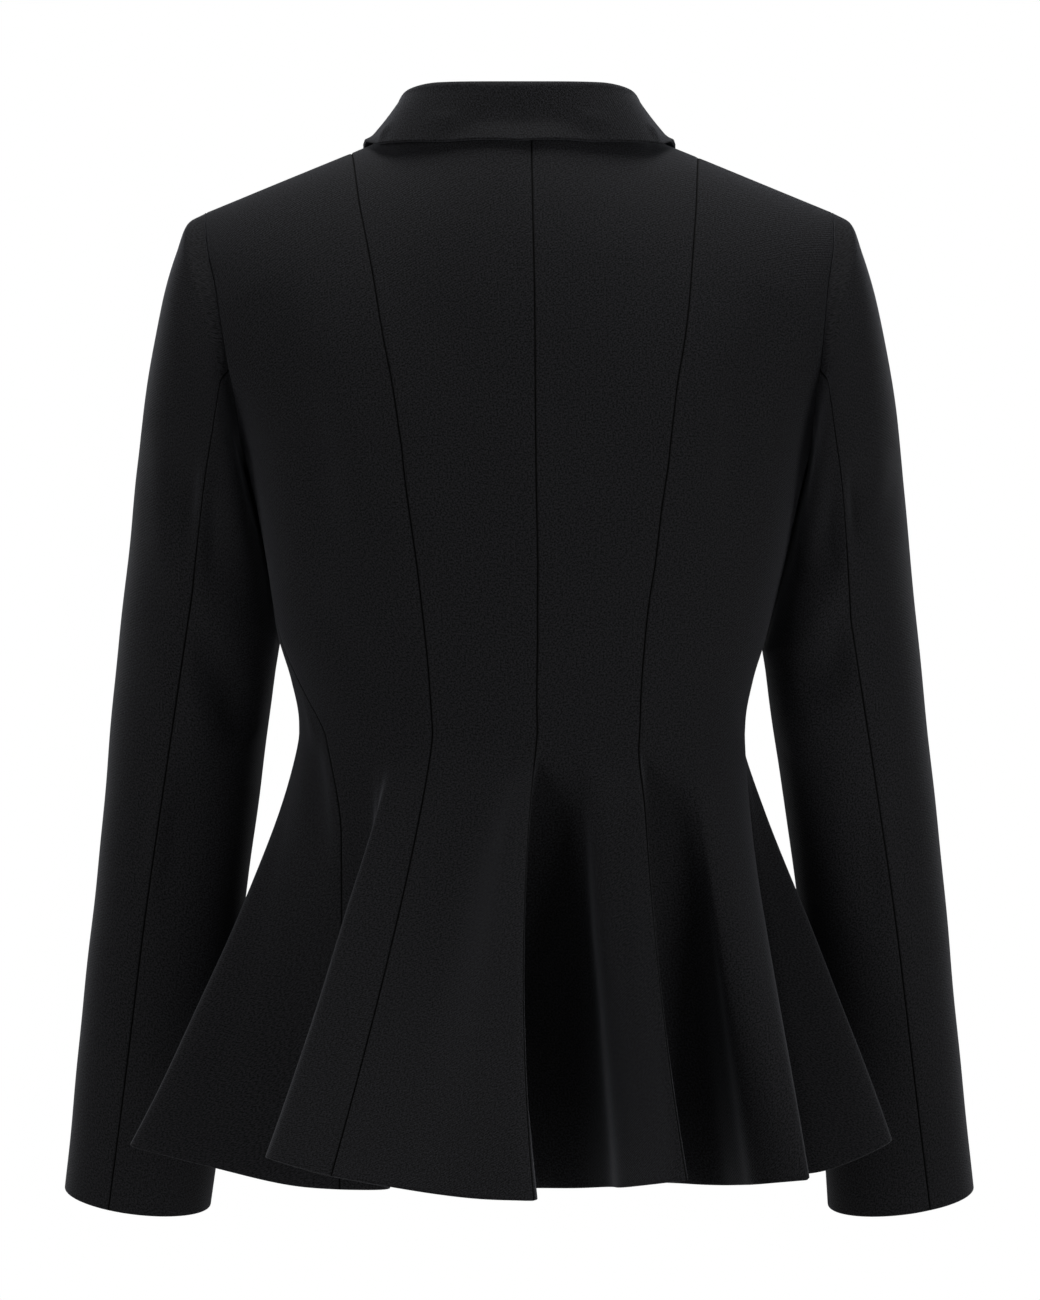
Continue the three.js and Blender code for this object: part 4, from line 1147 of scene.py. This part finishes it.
class BLAZER_OT_trunk(bpy.types.Operator):
    """Makes the eight panels of the trunk and the skirt, cut in one"""
    bl_idname = "blazer.trunk"
    bl_label = "Trunk panels"

    def execute(self, context):
        sizes = context.scene.blazer_sizes
        rows = int(TRUNK_LENGTH / sizes.row_step)
        creases = crease_lines(body, BODY_CREASES)
        for name, start, stop, sides, surface in panel_list():
            points = piece_grid(surface, start, stop, -2.0, 1.0, rows, sizes.panel_step)
            cloth_piece(name, points, False, sides, creases)
        return {"FINISHED"}


def tucked_start(points, middle, sideways):
    """A sleeve's grid with rows added before its first one. They slip under the armhole's edge by going
    sideways into the trunk and towards the middle of the armhole. The first row sinks into the seam."""
    inwards = unit(middle - points[0])
    under = sideways + inwards * HEAD_TUCK * 0.75
    first = points[:1] + inwards * HEAD_SINK
    return np.concatenate([first + under, first + under * 0.5, first, points[1:]])


class BLAZER_OT_sleeves(bpy.types.Operator):
    """Makes the two-piece sleeves"""
    bl_idname = "blazer.sleeves"
    bl_label = "Sleeves"

    def execute(self, context):
        sizes = context.scene.blazer_sizes
        rows = int(SLEEVE_LENGTH / sizes.row_step)
        hind = lambda at: along(SLEEVE_SEAMS, "at", "hind", at)
        fore = lambda at: along(SLEEVE_SEAMS, "at", "fore", at)
        upper_fore = lambda at: fore(at) - 360
        sides = ("sewn", "sewn", "sewn", "free")
        for label, side, creases in (("left", 1, LEFT_SLEEVE_CREASES), ("right", -1, RIGHT_SLEEVE_CREASES)):
            surface = sleeve(side)
            lines = crease_lines(surface, creases)
            for half, start, stop in (("upper", upper_fore, hind), ("under", hind, fore)):
                points = piece_grid(surface, start, stop, 0.0, 1.0, rows, SLEEVE_STEP)
                middle = surface(np.linspace(0, 345, 24), 0.0).mean(0)
                points = tucked_start(points, middle, np.array([-side * HEAD_TUCK, 0, 0]))
                node = f"{half}_sleeve_{label}"
                cloth_piece(node, points, side < 0, sides, lines, steady=STEADY_ROWS)
        return {"FINISHED"}


class BLAZER_OT_collar(bpy.types.Operator):
    """Makes the collar and the two lapels"""
    bl_idname = "blazer.collar"
    bl_label = "Collar and lapels"

    def execute(self, context):
        for label, side in (("left", 1), ("right", -1)):
            points = lapel_rows(side, np.linspace(0, 1, LAPEL_ROWS))
            cloth_piece(
                f"lapel_{label}", points, side > 0, ("free", "free", "free", "free"),
                swell=0.0)
        at = np.linspace(0, 1, COLLAR_ROWS)
        points = np.concatenate([collar_rows(-1, at[:0:-1]), collar_rows(1, at)])
        cloth_piece(
            "collar", points, True, ("sewn", "free", "free", "free"),
            swell=0.0)
        return {"FINISHED"}


def button_frame():
    """Place and directions of the button: it sits on the right front, square to the cloth."""
    point, normal = body_at(np.array([0.0]), np.array([BUTTON_Z]), True)
    out = normal[0]
    across = unit(np.cross(np.array([0.0, 0.0, 1.0]), out))
    return point[0] + out * (FRONT_RAMP + BUTTON_GAP), out, across, np.cross(out, across)


def thread_mesh(name):
    """Four strands of thread, two pairs side by side. Each strand is a circle carried along an arch that
    dips into a hole at both ends, and a strand's turn round the arch is a whole circle."""
    centre, out, across, up = button_frame()
    along_arch = np.linspace(0, 1, 15)[:, None]
    round_strand = np.linspace(0, 2 * np.pi, 9)[None, :-1]
    places, quads, start = [], [], 0
    for row in (-1, 1):
        for beside in (-0.5, 0.5):
            sideways = mix(-BUTTON_HOLE_OFFSET, BUTTON_HOLE_OFFSET, along_arch)
            rise = BUTTON_THICK - THREAD_DIP + THREAD_RISE * np.sin(np.pi * along_arch) ** 0.5
            middle = row * BUTTON_HOLE_OFFSET + beside * THREAD_RADIUS * 2
            height = middle + THREAD_RADIUS * np.cos(round_strand)
            depth = rise + THREAD_RADIUS * np.sin(round_strand)
            ring = centre + sideways[..., None] * across + height[..., None] * up + depth[..., None] * out
            rows, columns = ring.shape[:2]
            index = start + np.arange(rows * columns).reshape(rows, columns)
            ahead = np.roll(index, -1, axis=1)
            quads.append(np.stack([index[:-1], ahead[:-1], ahead[1:], index[1:]], -1).reshape(-1, 4))
            places.append(ring.reshape(-1, 3))
            start += rows * columns
    mesh = bpy.data.meshes.new(name)
    mesh.from_pydata(np.concatenate(places).tolist(), [], np.concatenate(quads).tolist())
    mesh.polygons.foreach_set("use_smooth", np.ones(len(mesh.polygons), bool))
    mesh.update()
    return mesh


class BLAZER_OT_button(bpy.types.Operator):
    """Gives the button its horn and sews it on with thread"""
    bl_idname = "blazer.button"
    bl_label = "Button"

    def execute(self, context):
        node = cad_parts["button"]
        horn = polished_horn()
        if node.material_slots:
            for slot in node.material_slots:
                slot.material = horn
        else:
            node.data.materials.append(horn)
        thread = bpy.data.objects.new("button_thread", thread_mesh("button_thread"))
        context.scene.collection.objects.link(thread)
        thread.data.materials.append(twisted_thread())
        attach(thread, "root")
        return {"FINISHED"}


class BLAZER_OT_studio(bpy.types.Operator):
    """Makes the camera, the pale floor and the soft lights"""
    bl_idname = "blazer.studio"
    bl_label = "Studio"

    def execute(self, context):
        scene = context.scene
        colours = scene.blazer_colours
        camera = bpy.data.cameras.new("camera")
        camera.sensor_width = SENSOR
        camera.lens = SENSOR * CAMERA_AWAY / FRAME_HEIGHT
        camera.clip_start, camera.clip_end = 0.1, 50.0
        holder = bpy.data.objects.new("camera", camera)
        holder.location = (CAMERA_X, CAMERA_AWAY, CAMERA_Z)
        holder.rotation_euler = (math.radians(90), 0, math.radians(180))
        scene.collection.objects.link(holder)
        scene.camera = holder

        floor = bpy.data.meshes.new("studio_floor")
        corners = np.array([(-1, -1), (1, -1), (1, 1), (-1, 1)]) * FLOOR_HALF
        floor.from_pydata([(x, y, FLOOR_Z) for x, y in corners.tolist()], [], [(0, 1, 2, 3)])
        floor_object = bpy.data.objects.new("studio_floor", floor)
        floor.materials.append(studio_paper())
        scene.collection.objects.link(floor_object)

        lights = [
            ("key_light", colours.key_power, (2.8, 2.75, 0.24), 1.8),
            ("high_light", colours.high_power, (0.0, 0.06, 1.38), 0.8),
            ("fill_light", colours.fill_power, (-1.45, 0.72, -0.5), 0.8),
            ("edge_light_left", colours.edge_power, (2.56, -3.05, 0.03), 2.2),
            ("edge_light_right", colours.edge_power, (-2.56, -3.05, 0.03), 2.2),
        ]
        for name, power, place, size in lights:
            light = bpy.data.lights.new(name, "AREA")
            light.shape = "SQUARE"
            light.size = size
            light.energy = power
            lamp = bpy.data.objects.new(name, light)
            lamp.location = place
            away = Vector(place) - Vector((0, 0, CAMERA_Z))
            lamp.rotation_euler = away.to_track_quat("Z", "Y").to_euler()
            scene.collection.objects.link(lamp)

        # The white wall is before the garment's front, so the room's light fades towards the camera
        world = bpy.data.worlds.new("studio")
        world.use_nodes = True
        tree = world.node_tree
        tree.nodes.clear()
        way = add_node(tree, "ShaderNodeSeparateXYZ", (), {
            0: add_node(tree, "ShaderNodeTexCoord").outputs["Generated"],
        })
        strength = add_node(tree, "ShaderNodeMapRange", {"interpolation_type": "SMOOTHSTEP"}, {
            "Value": way.outputs["Y"],
            "From Min": -0.9,
            "From Max": 0.5,
            "To Min": colours.room_light,
            "To Max": colours.room_dark,
        })
        room = add_node(tree, "ShaderNodeBackground", (), {
            "Color": (1, 1, 1, 1),
            "Strength": strength.outputs[0],
        })
        wall = add_node(tree, "ShaderNodeBackground", (), {"Color": (1, 1, 1, 1), "Strength": 1.0})
        seen = add_node(tree, "ShaderNodeLightPath")
        both = add_node(tree, "ShaderNodeMixShader", (), {
            0: seen.outputs["Is Camera Ray"],
            1: room.outputs["Background"],
            2: wall.outputs["Background"],
        })
        add_node(tree, "ShaderNodeOutputWorld", (), {"Surface": both.outputs["Shader"]})
        scene.world = world
        scene.view_settings.view_transform = "Standard"
        return {"FINISHED"}


class BLAZER_PT_sidebar(bpy.types.Panel):
    """Lists the pieces and the sizes and colours they are made with"""
    bl_idname = "BLAZER_PT_sidebar"
    bl_label = "Blazer"
    bl_space_type = "VIEW_3D"
    bl_region_type = "UI"
    bl_category = "Blazer"

    def draw(self, context):
        layout = self.layout
        for group in (context.scene.blazer_sizes, context.scene.blazer_colours):
            box = layout.box()
            for name in type(group).__annotations__:
                box.prop(group, name)
        for operator in PIECES:
            layout.operator(operator.bl_idname)


PIECES = (BLAZER_OT_studio, BLAZER_OT_trunk, BLAZER_OT_sleeves, BLAZER_OT_collar, BLAZER_OT_button)
CLASSES = (BlazerSizes, BlazerColours, *PIECES, BLAZER_PT_sidebar)


def register():
    for made in CLASSES:
        bpy.utils.register_class(made)
    bpy.types.Scene.blazer_sizes = bpy.props.PointerProperty(type=BlazerSizes)
    bpy.types.Scene.blazer_colours = bpy.props.PointerProperty(type=BlazerColours)


def unregister():
    del bpy.types.Scene.blazer_colours
    del bpy.types.Scene.blazer_sizes
    for made in reversed(CLASSES):
        bpy.utils.unregister_class(made)


def main():
    register()
    bpy.ops.blazer.studio()
    bpy.ops.blazer.trunk()
    bpy.ops.blazer.sleeves()
    bpy.ops.blazer.collar()
    bpy.ops.blazer.button()


if __name__ == "__main__":
    main()
